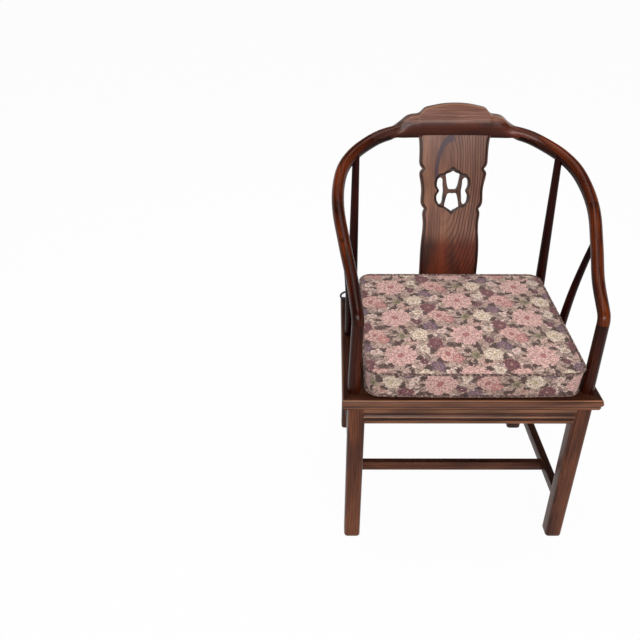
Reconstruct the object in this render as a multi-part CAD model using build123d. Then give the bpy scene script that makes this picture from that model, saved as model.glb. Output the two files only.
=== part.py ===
from build123d import *
import os
from math import radians, tan

os.makedirs("parts", exist_ok=True)

# Horseshoe-back armchair of turned and moulded hardwood with a loose, tied-on box cushion.
# Millimetres. While it is built, y = 0 is the front edge of the seat frame, +Y points to the back
# and z = 0 is the floor. At the end everything moves along y to centre the chair on the origin.
# Heights of what stands on the seat frame are counted from the frame's top.

cut_spare = 20.0             # how far raw stock runs past the cuts that end it
beyond = 700.0               # a distance that takes a cutting shape clear of the whole chair

# ---- seat frame ----
seat_height = 415.5          # floor to the top of the seat frame
frame_front_width = 543.0
frame_rear_width = 526.0
frame_depth = 430.0
rail_width = 52.0            # plan width of one frame member
rail_height = 26.0
panel_thickness = 10.0
panel_play = 1.0             # room for the panel to move across its grain
tongue_depth = 6.0
tongue_height = 5.0
tongue_drop = 2.0            # from the top of the panel down to its tongue
batten_width = 28.0
batten_offset = 90.0         # from the middle of the seat to each batten
mitre_tenon_width = 8.0
mitre_tenon_inset = 40.0     # from the frame's edge to the near side of the tenon
mitre_tenon_height = 7.0
mitre_tenon_drop = 12.0
mitre_tenon_length = 10.0    # past the mitre, into the side rail
mitre_tenon_root = 16.0      # the tenon starts this far inside its own rail
batten_tenon_height = 8.0
frame_pin_diameter = 5.0
frame_pin_blind = 2.0        # the pin goes on above its tenon

# ---- legs, aprons, stretchers ----
leg_size = 36.6
leg_corner_radius = 8.0
front_leg_x = frame_front_width / 2 - 32.0
front_leg_y = 31.0
front_foot_forward = 3.0
rear_leg_x = frame_rear_width / 2 - 28.1
rear_leg_y = frame_depth - 23.5
rear_foot_back = 12.6
foot_chamfer = 2.0
leg_tenon_size = 14.0
leg_tenon_wall = 1.0         # left between the end of a leg's tenon and the end of a post's
apron_height = 46.5
apron_thickness = 18.0
apron_setback = 2.0          # apron face behind the leg face
apron_tenon_length = 12.0
apron_tenon_thickness = 8.0
apron_tenon_shoulder = 6.0   # above and below the tenon
side_stretcher_width = 18.0
side_stretcher_height = 24.0
side_stretcher_z = 104.2
cross_stretcher_width = 16.0
cross_stretcher_height = 24.5
cross_stretcher_z = 99.1
cross_stretcher_y = 150.0
stretcher_shoulder = 3.5
stretcher_tenon_length = 9.0

# ---- posts between the seat frame and the horseshoe rail ----
# These points and the rail's and the crest's are drawn for a frame of the next two sizes,
# and move with the frame if it is made wider or deeper.
drawn_frame_width = 543.0
drawn_frame_depth = 430.0
front_post_foot = (246.0, 36.5, 0.0)
front_post_diameter = 27.0
side_post_foot = (247.0, 255.0, 0.0)
side_post_diameter = 21.0
side_post_top = (268.6, 216.0, 269.5)
side_post_top_diameter = 13.0
side_post_bow = 5.7          # the middle of the post bends this far inwards
rear_post_diameter = 25.5
rear_post_top = (234.0, 438.0, 367.5)
rear_post_top_diameter = 16.8
post_tenon_length = 10.0
post_head_tenon = 24.0       # from the top of the post's line back down, most of it inside the post
post_tenon_share = 0.56      # tenon diameter over post diameter

# ---- horseshoe rail ----
elbow = (242.6, 33.1, 182.5)  # where the front post's line meets the arm's line
elbow_radius = 22.0
arm_front_diameter = 25.0
rail_line = [
    (252.0, 123.0, 219.5), (262.0, 178.0, 248.5), (269.0, 220.0, 271.5), (275.0, 258.0, 291.5),
    (278.2, 312.0, 315.5), (273.4, 367.1, 337.5), (265.7, 399.4, 350.5), (251.7, 429.3, 362.5),
    (232.5, 454.9, 373.5), (208.7, 476.9, 383.5), (179.3, 494.4, 394.5), (150.0, 504.0, 401.5),
    (120.0, 509.0, 405.5), (83.0, 511.0, 407.5), (0.0, 511.5, 407.5),
]
rail_sections = [  # station along the rail's line, width across, height
    (0.0, arm_front_diameter, arm_front_diameter),
    (0.17, 26.0, 27.0), (0.38, 27.0, 29.0), (0.52, 28.0, 32.0),
    (0.68, 29.0, 32.0), (0.80, 29.2, 31.0), (0.87, 31.0, 29.0), (0.92, 34.0, 28.0),
    (1.0, 34.0, 28.0),
]
front_scarf_station = 0.42
rear_scarf_station = 0.75
scarf_length = 45.0
scarf_key_size = 6.0
scarf_key_drop = 4.0         # the key's middle is this far under the rail's centre line

# ---- raised middle of the crest ----
crest_levels = [  # height, front and back offsets from the crest's line in the middle
    (394.5, 17.0, -3.0), (398.5, 22.0, -7.0), (404.5, 25.0, -10.0), (412.5, 23.5, -12.5),
    (419.5, 20.0, -14.0), (430.5, 16.0, -14.0), (474.5, -3.5, -12.5),
]
crest_line = [(0.0, 519.0), (50.0, 518.8), (88.0, 517.5), (118.0, 513.0), (145.0, 506.5)]
crest_end_front = 8.0        # offsets at the ends, inside the round rail
crest_end_back = -6.0
crest_top_arch = [(0.0, 467.0), (57.0, 460.0)]
crest_upper_step = [(57.0, 460.0), (70.0, 456.5), (78.0, 448.0), (86.0, 442.3), (96.0, 441.0)]
crest_lower_step = [(96.0, 441.0), (108.0, 437.5), (121.0, 426.5), (134.0, 419.5), (151.0, 414.5)]

# ---- splat ----
splat_thickness = 11.0
splat_steps = 8              # spans of the offset curves that make its two faces
splat_curve = [  # centre line from the side: depth and height
    (404.0, 0.0), (405.5, 52.5), (410.0, 104.5), (424.6, 162.5), (443.8, 217.5),
    (461.6, 271.5), (477.5, 326.5), (494.5, 379.5), (504.0, 406.5),
]
splat_lower_edge = [(70.5, 0.0), (70.5, 81.5), (69.5, 162.5), (67.5, 217.5), (69.3, 235.5)]
splat_middle_edge = [(69.3, 235.5), (74.5, 251.5), (73.6, 270.5), (78.8, 306.5), (76.6, 325.5)]
splat_upper_edge = [(76.6, 325.5), (80.4, 341.5), (81.4, 372.5), (84.0, 392.5), (89.5, 410.5)]
splat_tenon_half_width = 52.0
splat_tenon_thickness = 6.0
splat_foot_tenon = 12.0
splat_head_tenon = 12.0
splat_head_root = 6.0        # the head tenon starts this far down inside the board
splat_head_lead = 3.0        # the head tenon is this far in front of the board's upper end
fret_top = [(0.0, 320.0), (16.8, 313.5), (14.8, 296.5), (10.1, 279.0)]
fret_bottom = [(0.0, 228.5), (17.9, 236.5), (15.7, 252.5), (12.0, 268.5)]
fret_side_outer = [(29.4, 304.5), (37.0, 292.5), (32.1, 274.5), (36.9, 257.5), (29.9, 244.5)]
fret_side_inner = [(29.4, 304.5), (24.2, 298.5), (19.8, 275.0), (23.9, 251.5), (29.9, 244.5)]

# ---- seat cushion ----
cushion_front_inset = 44.5   # from the frame's side edges
cushion_rear_inset = 39.5
cushion_front_y = 8.0
cushion_play = 1.5           # between the cushion and the splat
cushion_front_height = 63.0
cushion_rear_height = 77.0
cushion_front_radius = 30.0
cushion_rear_radius = 27.0
cushion_edge_radius = 9.0

# ---- cushion ties: one loop of cord at each back corner, hitched behind the rear post ----
tie_diameter = 5.0
tie_route = [
    (206.4, 395.3, 431.0), (209.5, 403.0, 431.5), (214.5, 415.5, 432.5), (224.0, 426.5, 433.5),
    (238.5, 427.5, 434.0), (252.0, 421.5, 433.5), (263.0, 414.0, 431.0), (264.0, 406.5, 426.5),
    (255.0, 402.5, 421.5), (251.5, 414.0, 419.5), (243.0, 424.0, 419.0), (229.0, 426.0, 419.2),
    (217.0, 417.0, 420.0), (210.5, 405.0, 421.0), (206.6, 395.4, 421.5),
]

# ---- worked out from the sizes above ----
frame_bottom = seat_height - rail_height
leg_tenon_length = rail_height - post_tenon_length - leg_tenon_wall
width_share = frame_front_width / drawn_frame_width
depth_share = frame_depth / drawn_frame_depth


def on_frame(point):
    """A drawn point, moved with the frame's width, depth and height."""
    x, y, z = point
    return (x * width_share, y * depth_share, z + seat_height)


def lifted(points):
    """Points with their heights counted from the floor."""
    return [(x, z + seat_height) for x, z in points]


def crest_edge(points):
    """Points of the crest's upper edge, moved with the frame's width and height."""
    return [(x * width_share, z + seat_height) for x, z in points]


def frame_half(y):
    """Half the frame's width at depth y."""
    return (frame_front_width + (frame_rear_width - frame_front_width) * y / frame_depth) / 2


def prism(points, bottom, top):
    """A plan outline raised from bottom to top."""
    outline = make_face(Polyline(*[(x, y, bottom) for x, y in points], close=True))
    return extrude(outline, amount=top - bottom, dir=(0, 0, 1))


def block(x_range, y_range, z_range):
    """A box given by its lowest and highest x, y and z."""
    left, right = x_range
    front, rear = y_range
    return prism([(left, front), (right, front), (right, rear), (left, rear)], *z_range)


def mirrored(shape):
    """The same piece on the chair's left."""
    return mirror(shape, about=Plane.YZ)


def largest(shape):
    """The biggest solid of a shape that a cut may have left in crumbs."""
    return max(shape.solids(), key=lambda solid: solid.volume)


def cut(shape, *tools):
    """The shape without its tools, each taken away in turn."""
    for tool in tools:
        if (shape & tool) is not None:
            shape = shape - tool
    return shape


def both_sides(*shapes):
    """The shapes and their mirror images."""
    return [*shapes, *(mirrored(shape) for shape in shapes)]


def across(point, direction, heading=None):
    """A plane across direction, whose local y is as near upright as it can be."""
    normal = Vector(*direction).normalized()
    flat = Vector(heading[0], heading[1], 0) if heading else Vector(normal.X, normal.Y, 0)
    side = Vector(flat.Y, -flat.X, 0).normalized()
    return Plane(origin=point, x_dir=side, z_dir=normal)


def beam(start, end, width, height):
    """A level bar of rectangular section between two points on its centre line."""
    run = Vector(*end) - Vector(*start)
    return extrude(across(start, run) * Rectangle(width, height), amount=run.length)


# ---------------------------------------------------------------- seat frame
def opening_outline(growth):
    """The plan of the frame's inner opening, moved outwards by growth."""
    low = rail_width - growth
    high = frame_depth - rail_width + growth
    return [
        (frame_half(low) - low, low), (frame_half(high) - low, high),
        (-frame_half(high) + low, high), (-frame_half(low) + low, low),
    ]


def rail_profile():
    """Section of a frame rail: x inwards from its outer edge, y up from its top."""
    inner = rail_width + 1
    low = -rail_height
    return make_face(Polyline(
        (inner, 0), (3.4, 0), (1.8, -0.8), (1.2, -2.4), (1.9, -3.8), (0.7, -5.4), (0, -8.6),
        (0.5, -12.2), (3.4, low + 8.4), (3.4, low + 6.6), (2.8, low + 5.6), (2.8, low + 4.2),
        (4.2, low + 3.2), (4.2, low), (inner, low), close=True,
    ))


def apron_profile():
    """Section of an apron: fascia, sunk band, bead and cove over a plain lower edge."""
    low = -apron_height
    return make_face(Polyline(
        (apron_thickness, 0), (0, 0), (0, low + 30.4), (2.6, low + 29.4), (2.6, low + 20.7),
        (0.6, low + 19.5), (0, low + 17.7), (0.6, low + 15.9), (1.6, low + 13.5), (3.2, low + 12.1),
        (3.2, low + 8.3), (1.2, low + 7.0), (1.0, low), (apron_thickness, low), close=True,
    ))


def moulding(profile, start, end, top, spare=0.0):
    """A profile run from start to end in plan, its local x pointing to the left of the run."""
    run = Vector(end[0] - start[0], end[1] - start[1], 0)
    forward = run.normalized()
    origin = Vector(start[0], start[1], top) - forward * spare
    plane = Plane(origin=origin, x_dir=(-forward.Y, forward.X, 0), z_dir=forward)
    return extrude(plane * profile, amount=run.length + 2 * spare)


def seat_rails():
    """Four mitred rails with a panel groove; front and rear carry the mitre tenons."""
    corners = [
        (-frame_half(0), 0), (frame_half(0), 0),
        (frame_half(frame_depth), frame_depth), (-frame_half(frame_depth), frame_depth),
    ]
    inner = opening_outline(0)
    inner_corners = [inner[3], inner[0], inner[1], inner[2]]
    groove_top = seat_height - tongue_drop
    groove = prism(opening_outline(tongue_depth), groove_top - tongue_height, groove_top)
    rails = {}
    for index, name in enumerate(["front", "right", "rear", "left"]):
        following = (index + 1) % 4
        plan = [corners[index], corners[following], inner_corners[following], inner_corners[index]]
        body = moulding(rail_profile(), corners[index], corners[following], seat_height, cut_spare)
        rails[name] = body & prism(plan, frame_bottom - 1, seat_height + 1)
    tenon_top = seat_height - mitre_tenon_drop
    rear_near = frame_depth - mitre_tenon_inset - mitre_tenon_width
    for name, near in (("front", mitre_tenon_inset), ("rear", rear_near)):
        reach = frame_half(near) - mitre_tenon_inset + mitre_tenon_length
        for side in ("right", "left"):
            tenon = block(
                (reach - mitre_tenon_length - mitre_tenon_root, reach), (near, near + mitre_tenon_width),
                (tenon_top - mitre_tenon_height, tenon_top),
            )
            if side == "left":
                tenon = mirrored(tenon)
            rails[name] += tenon
            rails[side] -= tenon
    return {name: rail - groove for name, rail in rails.items()}


def seat_panel():
    """The panel floats in the frame's groove, its top level with the frame."""
    tongue_top = seat_height - tongue_drop
    board = prism(opening_outline(-panel_play / 2), seat_height - panel_thickness, seat_height)
    return board + prism(opening_outline(tongue_depth - panel_play), tongue_top - tongue_height, tongue_top)


def panel_batten():
    """Runs front to back under the panel, with a stub tenon in each end rail."""
    near = rail_width
    far = frame_depth - rail_width
    middle = (frame_bottom + seat_height - panel_thickness) / 2
    half = batten_width / 2
    tenon_half = batten_width / 3
    rise = batten_tenon_height / 2
    bar = block(
        (batten_offset - half, batten_offset + half), (near, far),
        (frame_bottom, seat_height - panel_thickness),
    )
    return bar + block(
        (batten_offset - tenon_half, batten_offset + tenon_half),
        (near - mitre_tenon_length, far + mitre_tenon_length), (middle - rise, middle + rise),
    )


def frame_pin(y):
    """A wooden pin up through the mitre tenon that lies at depth y."""
    inset = min(y, frame_depth - y)
    x = frame_half(y) - inset + mitre_tenon_length / 2
    height = rail_height - mitre_tenon_drop + frame_pin_blind
    return Pos(x, y, frame_bottom + height / 2) * Cylinder(frame_pin_diameter / 2, height)


# ---------------------------------------------------------------- legs, aprons, stretchers
def leg(x, top_y, foot_y):
    """A square leg with round corners from the floor to the frame, and its tenon."""
    section = RectangleRounded(leg_size, leg_size, leg_corner_radius)
    body = loft([Pos(x, foot_y, 0) * section, Pos(x, top_y, frame_bottom) * section])
    body = chamfer(body.edges().group_by(Axis.Z)[0], foot_chamfer)
    half = leg_tenon_size / 2
    top = frame_bottom + leg_tenon_length
    return body + block((x - half, x + half), (top_y - half, top_y + half), (frame_bottom - 1, top))


def apron(start, end, legs):
    """A moulded board between two legs, cut to their shape, with a stub tenon in each."""
    board = moulding(apron_profile(), start, end, frame_bottom)
    board = largest(cut(board, *legs))
    run = Vector(end[0] - start[0], end[1] - start[1], 0).normalized()
    left = Vector(-run.Y, run.X, 0)
    centre = left * (apron_thickness / 2)
    height = apron_height - 2 * apron_tenon_shoulder
    middle = frame_bottom - apron_height / 2
    ends = [Vector(*start, middle) + centre, Vector(*end, middle) + centre]
    inset = leg_size / 2 - apron_tenon_length
    tenon = beam(
        tuple(ends[0] + run * inset), tuple(ends[1] - run * inset), apron_tenon_thickness, height
    )
    return board + tenon


def leg_centre(x, top_y, foot_y, z):
    """The leg's centre at height z."""
    return (x, foot_y + (top_y - foot_y) * z / frame_bottom, z)


def side_stretcher_line():
    """From the front leg's centre to the rear leg's centre at the stretcher's height."""
    start = leg_centre(front_leg_x, front_leg_y, front_leg_y - front_foot_forward, side_stretcher_z)
    end = leg_centre(rear_leg_x, rear_leg_y, rear_leg_y + rear_foot_back, side_stretcher_z)
    return start, end


def side_stretcher(front, rear):
    """Between the front and the rear leg on one side, and its tenons."""
    start, end = side_stretcher_line()
    bar = beam(start, end, side_stretcher_width, side_stretcher_height)
    body = largest(cut(bar, front, rear))
    run = (Vector(*end) - Vector(*start)).normalized()
    inset = leg_size / 2 - stretcher_tenon_length
    return body + beam(
        tuple(Vector(*start) + run * inset), tuple(Vector(*end) - run * inset),
        side_stretcher_width - 2 * stretcher_shoulder, side_stretcher_height - 2 * stretcher_shoulder,
    )


def cross_stretcher():
    """Between the two side stretchers, nearer to the front."""
    half = frame_half(cross_stretcher_y)
    start = (-half, cross_stretcher_y, cross_stretcher_z)
    end = (half, cross_stretcher_y, cross_stretcher_z)
    line = side_stretcher_line()
    wall = beam(*line, side_stretcher_width, side_stretcher_height + 2 * cross_stretcher_height)
    bar = beam(start, end, cross_stretcher_width, cross_stretcher_height)
    body = largest(cut(bar, wall, mirrored(wall)))
    reach = body.bounding_box().max.X + stretcher_tenon_length
    tenon = beam(
        (-reach, cross_stretcher_y, cross_stretcher_z), (reach, cross_stretcher_y, cross_stretcher_z),
        cross_stretcher_width - 2 * stretcher_shoulder, cross_stretcher_height - 2 * stretcher_shoulder,
    )
    return body + tenon


# ---------------------------------------------------------------- horseshoe rail
def elbow_ends():
    """Where the bend above the front post starts and ends, and the arm's direction there."""
    corner = Vector(*on_frame(elbow))
    along = (Vector(*on_frame(rail_line[0])) - corner).normalized()
    turn = Vector(0, 0, 1).get_angle(along)
    reach = elbow_radius * tan(radians(turn / 2))
    return corner - Vector(0, 0, reach), corner + along * reach, along


def rail_path():
    """The centre line from the bend over the front post to the middle of the crest."""
    start, end, along = elbow_ends()
    points = [tuple(end)] + [on_frame(point) for point in rail_line]
    return Spline(*points, tangents=[along, (-1, 0, 0)])


def rail_section(path, station, width, height):
    """An elliptical section across the rail's line."""
    plane = across(path @ station, path % station)
    return plane * Ellipse(width / 2, height / 2)


def section_size(station):
    """Width and height of the round rail at a station, between the listed ones."""
    for low, high in zip(rail_sections, rail_sections[1:]):
        if low[0] <= station <= high[0]:
            share = (station - low[0]) / (high[0] - low[0])
            return low[1] + (high[1] - low[1]) * share, low[2] + (high[2] - low[2]) * share
    return rail_sections[-1][1:]


def rail_loft(path, first, last, steps):
    """The round rail between two stations."""
    sections = []
    for index in range(steps + 1):
        station = first + (last - first) * index / steps
        sections.append(rail_section(path, station, *section_size(station)))
    return loft(sections)


def elbow_bend():
    """The quarter bend between the front post and the arm."""
    start, end, along = elbow_ends()
    path = TangentArc(start, end, tangent=(0, 0, 1))
    plane = Plane(origin=start, x_dir=(1, 0, 0), z_dir=(0, 0, 1))
    return sweep(plane * Circle(arm_front_diameter / 2), path=path)


def scarf_cutters(path, station):
    """The two sides of a halved scarf: one keeps the upper half, the other the lower."""
    plane = across(path @ station, path % station)
    half = beyond / 2
    after = plane.location * Pos(0, 0, scarf_length / 2 + half) * Box(2 * beyond, beyond, beyond)
    before = plane.location * Pos(0, 0, -scarf_length / 2 - half) * Box(2 * beyond, beyond, beyond)
    tongue = Box(2 * beyond, half, scarf_length)
    upper = plane.location * Pos(0, half / 2, 0) * tongue
    lower = plane.location * Pos(0, -half / 2, 0) * tongue
    return before + lower, after + upper


def scarf_key(path, station, piece):
    """A square key up through both halves, flush below and blind above."""
    plane = across(path @ station, path % station)
    height = section_size(station)[1]
    key = plane.location * Pos(0, -scarf_key_drop, 0) * Box(scarf_key_size, height, scarf_key_size)
    return key & piece


def mirror_points(points):
    """Points of a half outline, continued over the middle to the other half."""
    return [(-x, *rest) for x, *rest in reversed(points) if x > 0] + list(points)


def crest_face(level):
    """The crest's plan at one height: it follows the crest's line at the given offsets."""
    height, front, back = level
    fade_start = crest_line[2][0]
    fade_run = crest_line[-1][0] - fade_start

    def side(offset, end_offset):
        points = []
        for x, y in mirror_points(crest_line):
            fade = max(0.0, (abs(x) - fade_start) / fade_run)
            inward = offset + (end_offset - offset) * fade
            points.append((x * width_share, y * depth_share - inward, height + seat_height))
        return points

    near = Spline(*side(front, crest_end_front))
    far = Spline(*side(back, crest_end_back))
    ends = [Line(near @ 0, far @ 0), Line(near @ 1, far @ 1)]
    return make_face([near, far] + ends)


def crest_outline():
    """The crest's stepped top edge from the front, closed well below it."""
    (middle_x, middle_z), (arch_x, arch_z) = crest_edge(crest_top_arch)
    arch = ThreePointArc(
        (-arch_x, -beyond, arch_z), (middle_x, -beyond, middle_z), (arch_x, -beyond, arch_z)
    )
    edges = [arch]
    for step in (crest_upper_step, crest_lower_step):
        half = Spline(*[(x, -beyond, z) for x, z in crest_edge(step)])
        edges += [half, mirror(half, about=Plane.YZ)]
    end_x, end_z = crest_edge(crest_lower_step)[-1]
    low = crest_levels[0][0] + seat_height - cut_spare
    edges.append(Polyline(
        (end_x, -beyond, end_z), (end_x, -beyond, low), (-end_x, -beyond, low), (-end_x, -beyond, end_z)
    ))
    return extrude(make_face(edges), amount=2 * beyond, dir=(0, 1, 0))


def crest_head():
    """The raised, backward-leaning middle of the crest."""
    body = loft([crest_face(level) for level in crest_levels], ruled=True)
    return body & crest_outline()


# ---------------------------------------------------------------- posts and splat
def front_arm_post():
    """Runs on from the front leg into the bend of the arm, with a tenon at each end."""
    foot = Plane(origin=on_frame(front_post_foot), x_dir=(1, 0, 0), z_dir=(0, 0, 1))
    head = Plane(origin=elbow_ends()[0], x_dir=(1, 0, 0), z_dir=(0, 0, 1))
    body = loft([foot * Circle(front_post_diameter / 2), head * Circle(arm_front_diameter / 2)])
    foot_tenon = foot * Circle(front_post_diameter * post_tenon_share / 2)
    head_tenon = head * Circle(arm_front_diameter * post_tenon_share / 2)
    body += extrude(head_tenon, amount=post_tenon_length)
    return body + extrude(foot_tenon, amount=-post_tenon_length)


def round_post(foot, line, diameter, top_diameter, steps, body_of_rail):
    """A tapering round post on a line, cut to the rail's underside, with a tenon at each end."""
    sections = []
    for index in range(steps + 1):
        share = index / steps
        size = diameter + (top_diameter - diameter) * share
        if index == 0:
            plane = Plane(origin=foot, x_dir=(1, 0, 0), z_dir=(0, 0, 1))
        else:
            plane = across(line @ share, line % share, heading=(0, 1))
        sections.append(plane * Circle(size / 2))
    body = largest(loft(sections) - body_of_rail)
    foot_tenon = Pos(foot[0], foot[1], foot[2] - post_tenon_length / 2) * Cylinder(
        diameter * post_tenon_share / 2, post_tenon_length
    )
    top_plane = across(line @ 1, line % 1, heading=(0, 1))
    top_tenon = extrude(top_plane * Circle(top_diameter * post_tenon_share / 2), amount=-post_head_tenon)
    return body + foot_tenon + top_tenon


def splat():
    """A board bent to an S from the side, shaped at its edges, pierced by a four-part fret."""
    line = Spline(*[(0, y * depth_share, z + seat_height) for y, z in splat_curve])
    front = []
    back = []
    for index in range(splat_steps + 1):
        share = index / splat_steps
        tangent = line % share
        normal = Vector(0, -tangent.Z, tangent.Y) * (splat_thickness / 2)
        front.append(line @ share + normal)
        back.append(line @ share - normal)
    near = Spline(*front)
    far = Spline(*back)
    side_face = make_face([near, far, Line(near @ 0, far @ 0), Line(near @ 1, far @ 1)])
    slab = extrude(side_face, amount=beyond, dir=(1, 0, 0), both=True)
    edges = []
    for part in (splat_lower_edge, splat_middle_edge, splat_upper_edge):
        edge = Spline(*[(x, 0, z) for x, z in lifted(part)])
        edges += [edge, mirror(edge, about=Plane.YZ)]
    (foot_x, foot_z), (top_x, top_z) = lifted([splat_lower_edge[0], splat_upper_edge[-1]])
    edges.append(Line((-foot_x, 0, foot_z), (foot_x, 0, foot_z)))
    edges.append(Line((-top_x, 0, top_z), (top_x, 0, top_z)))
    body = slab & extrude(make_face(edges), amount=beyond, dir=(0, 1, 0))
    for piercing in fret_piercings():
        body -= extrude(piercing, amount=beyond, dir=(0, 1, 0))
    return body


def splat_tenons():
    """One into the rear rail of the frame and one up into the crest."""
    width = (-splat_tenon_half_width, splat_tenon_half_width)
    half = splat_tenon_thickness / 2
    foot_y = splat_curve[0][0] * depth_share
    head_y = splat_curve[-1][0] * depth_share - splat_head_lead
    underside = crest_levels[0][0] + seat_height
    foot = block(width, (foot_y - half, foot_y + half), (seat_height - splat_foot_tenon, seat_height + 1))
    head = block(
        width, (head_y - half, head_y + half), (underside - splat_head_root, underside + splat_head_tenon)
    )
    return foot + head


def fret_piercings():
    """The four openings: one above, one below and a pair of kidney shapes beside them."""
    faces = []
    for outline in (fret_top, fret_bottom):
        tip, corner, waist, end = lifted(outline)
        sides = []
        for sign in (1, -1):
            points = [(sign * x, 0, z) for x, z in (corner, waist, end)]
            sides.append(Spline(*points))
            sides.append(Line((0, 0, tip[1]), points[0]))
        sides.append(Line((end[0], 0, end[1]), (-end[0], 0, end[1])))
        faces.append(make_face(sides))
    for sign in (1, -1):
        outer = [(sign * x, 0, z) for x, z in lifted(fret_side_outer)]
        inner = [(sign * x, 0, z) for x, z in lifted(fret_side_inner)]
        edges = [Spline(*outer[:3]), Spline(*outer[2:]), Spline(*inner)]
        faces.append(make_face(edges))
    return faces


# ---------------------------------------------------------------- cushion and ties
def seat_cushion():
    """A box cushion, thicker at the back, with rounded corners and edges."""
    front_half = frame_front_width / 2 - cushion_front_inset
    rear_half = frame_rear_width / 2 - cushion_rear_inset
    rear_y = splat_curve[0][0] * depth_share - splat_thickness / 2 - cushion_play
    plan = [
        (-front_half, cushion_front_y), (front_half, cushion_front_y),
        (rear_half, rear_y), (-rear_half, rear_y),
    ]
    body = prism(plan, seat_height, seat_height + cushion_rear_height)
    body = fillet(body.edges().filter_by(Axis.Z).group_by(Axis.Y)[0], cushion_front_radius)
    body = fillet(body.edges().filter_by(Axis.Z).group_by(Axis.Y)[-1], cushion_rear_radius)
    front_top = seat_height + cushion_front_height
    rear_top = seat_height + cushion_rear_height
    wedge = make_face(Polyline(
        (-beyond, cushion_front_y, front_top), (-beyond, rear_y, rear_top),
        (-beyond, rear_y, rear_top + cut_spare),
        (-beyond, cushion_front_y - cut_spare, rear_top + cut_spare),
        (-beyond, cushion_front_y - cut_spare, front_top), close=True,
    ))
    body -= extrude(wedge, amount=2 * beyond, dir=(1, 0, 0))
    return fillet(body.faces().sort_by(Axis.Z)[-1].edges(), cushion_edge_radius)


def tie_radii(points):
    """Each bend of the tie: as large as its two runs allow."""
    radii = []
    for before, here, after in zip(points, points[1:], points[2:]):
        run_in = Vector(*here) - Vector(*before)
        run_out = Vector(*after) - Vector(*here)
        turn = run_in.get_angle(run_out)
        radii.append(0.45 * min(run_in.length, run_out.length) / tan(radians(turn / 2)))
    return radii


def cushion_tie():
    """A loop of cord from the cushion's back corner round the back of the rear post."""
    radii = tie_radii(tie_route)
    print("cushion tie radii", [round(radius, 1) for radius in radii])
    path = FilletPolyline(*tie_route, radius=radii)
    start = Plane(origin=path @ 0, z_dir=path % 0)
    tube = sweep(start * Circle(tie_diameter / 2), path=path)
    expected = Circle(tie_diameter / 2).area * path.length
    print("cushion tie length", round(path.length, 1))
    print("volume over section times length", round(tube.volume / expected, 4))
    return tube


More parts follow.
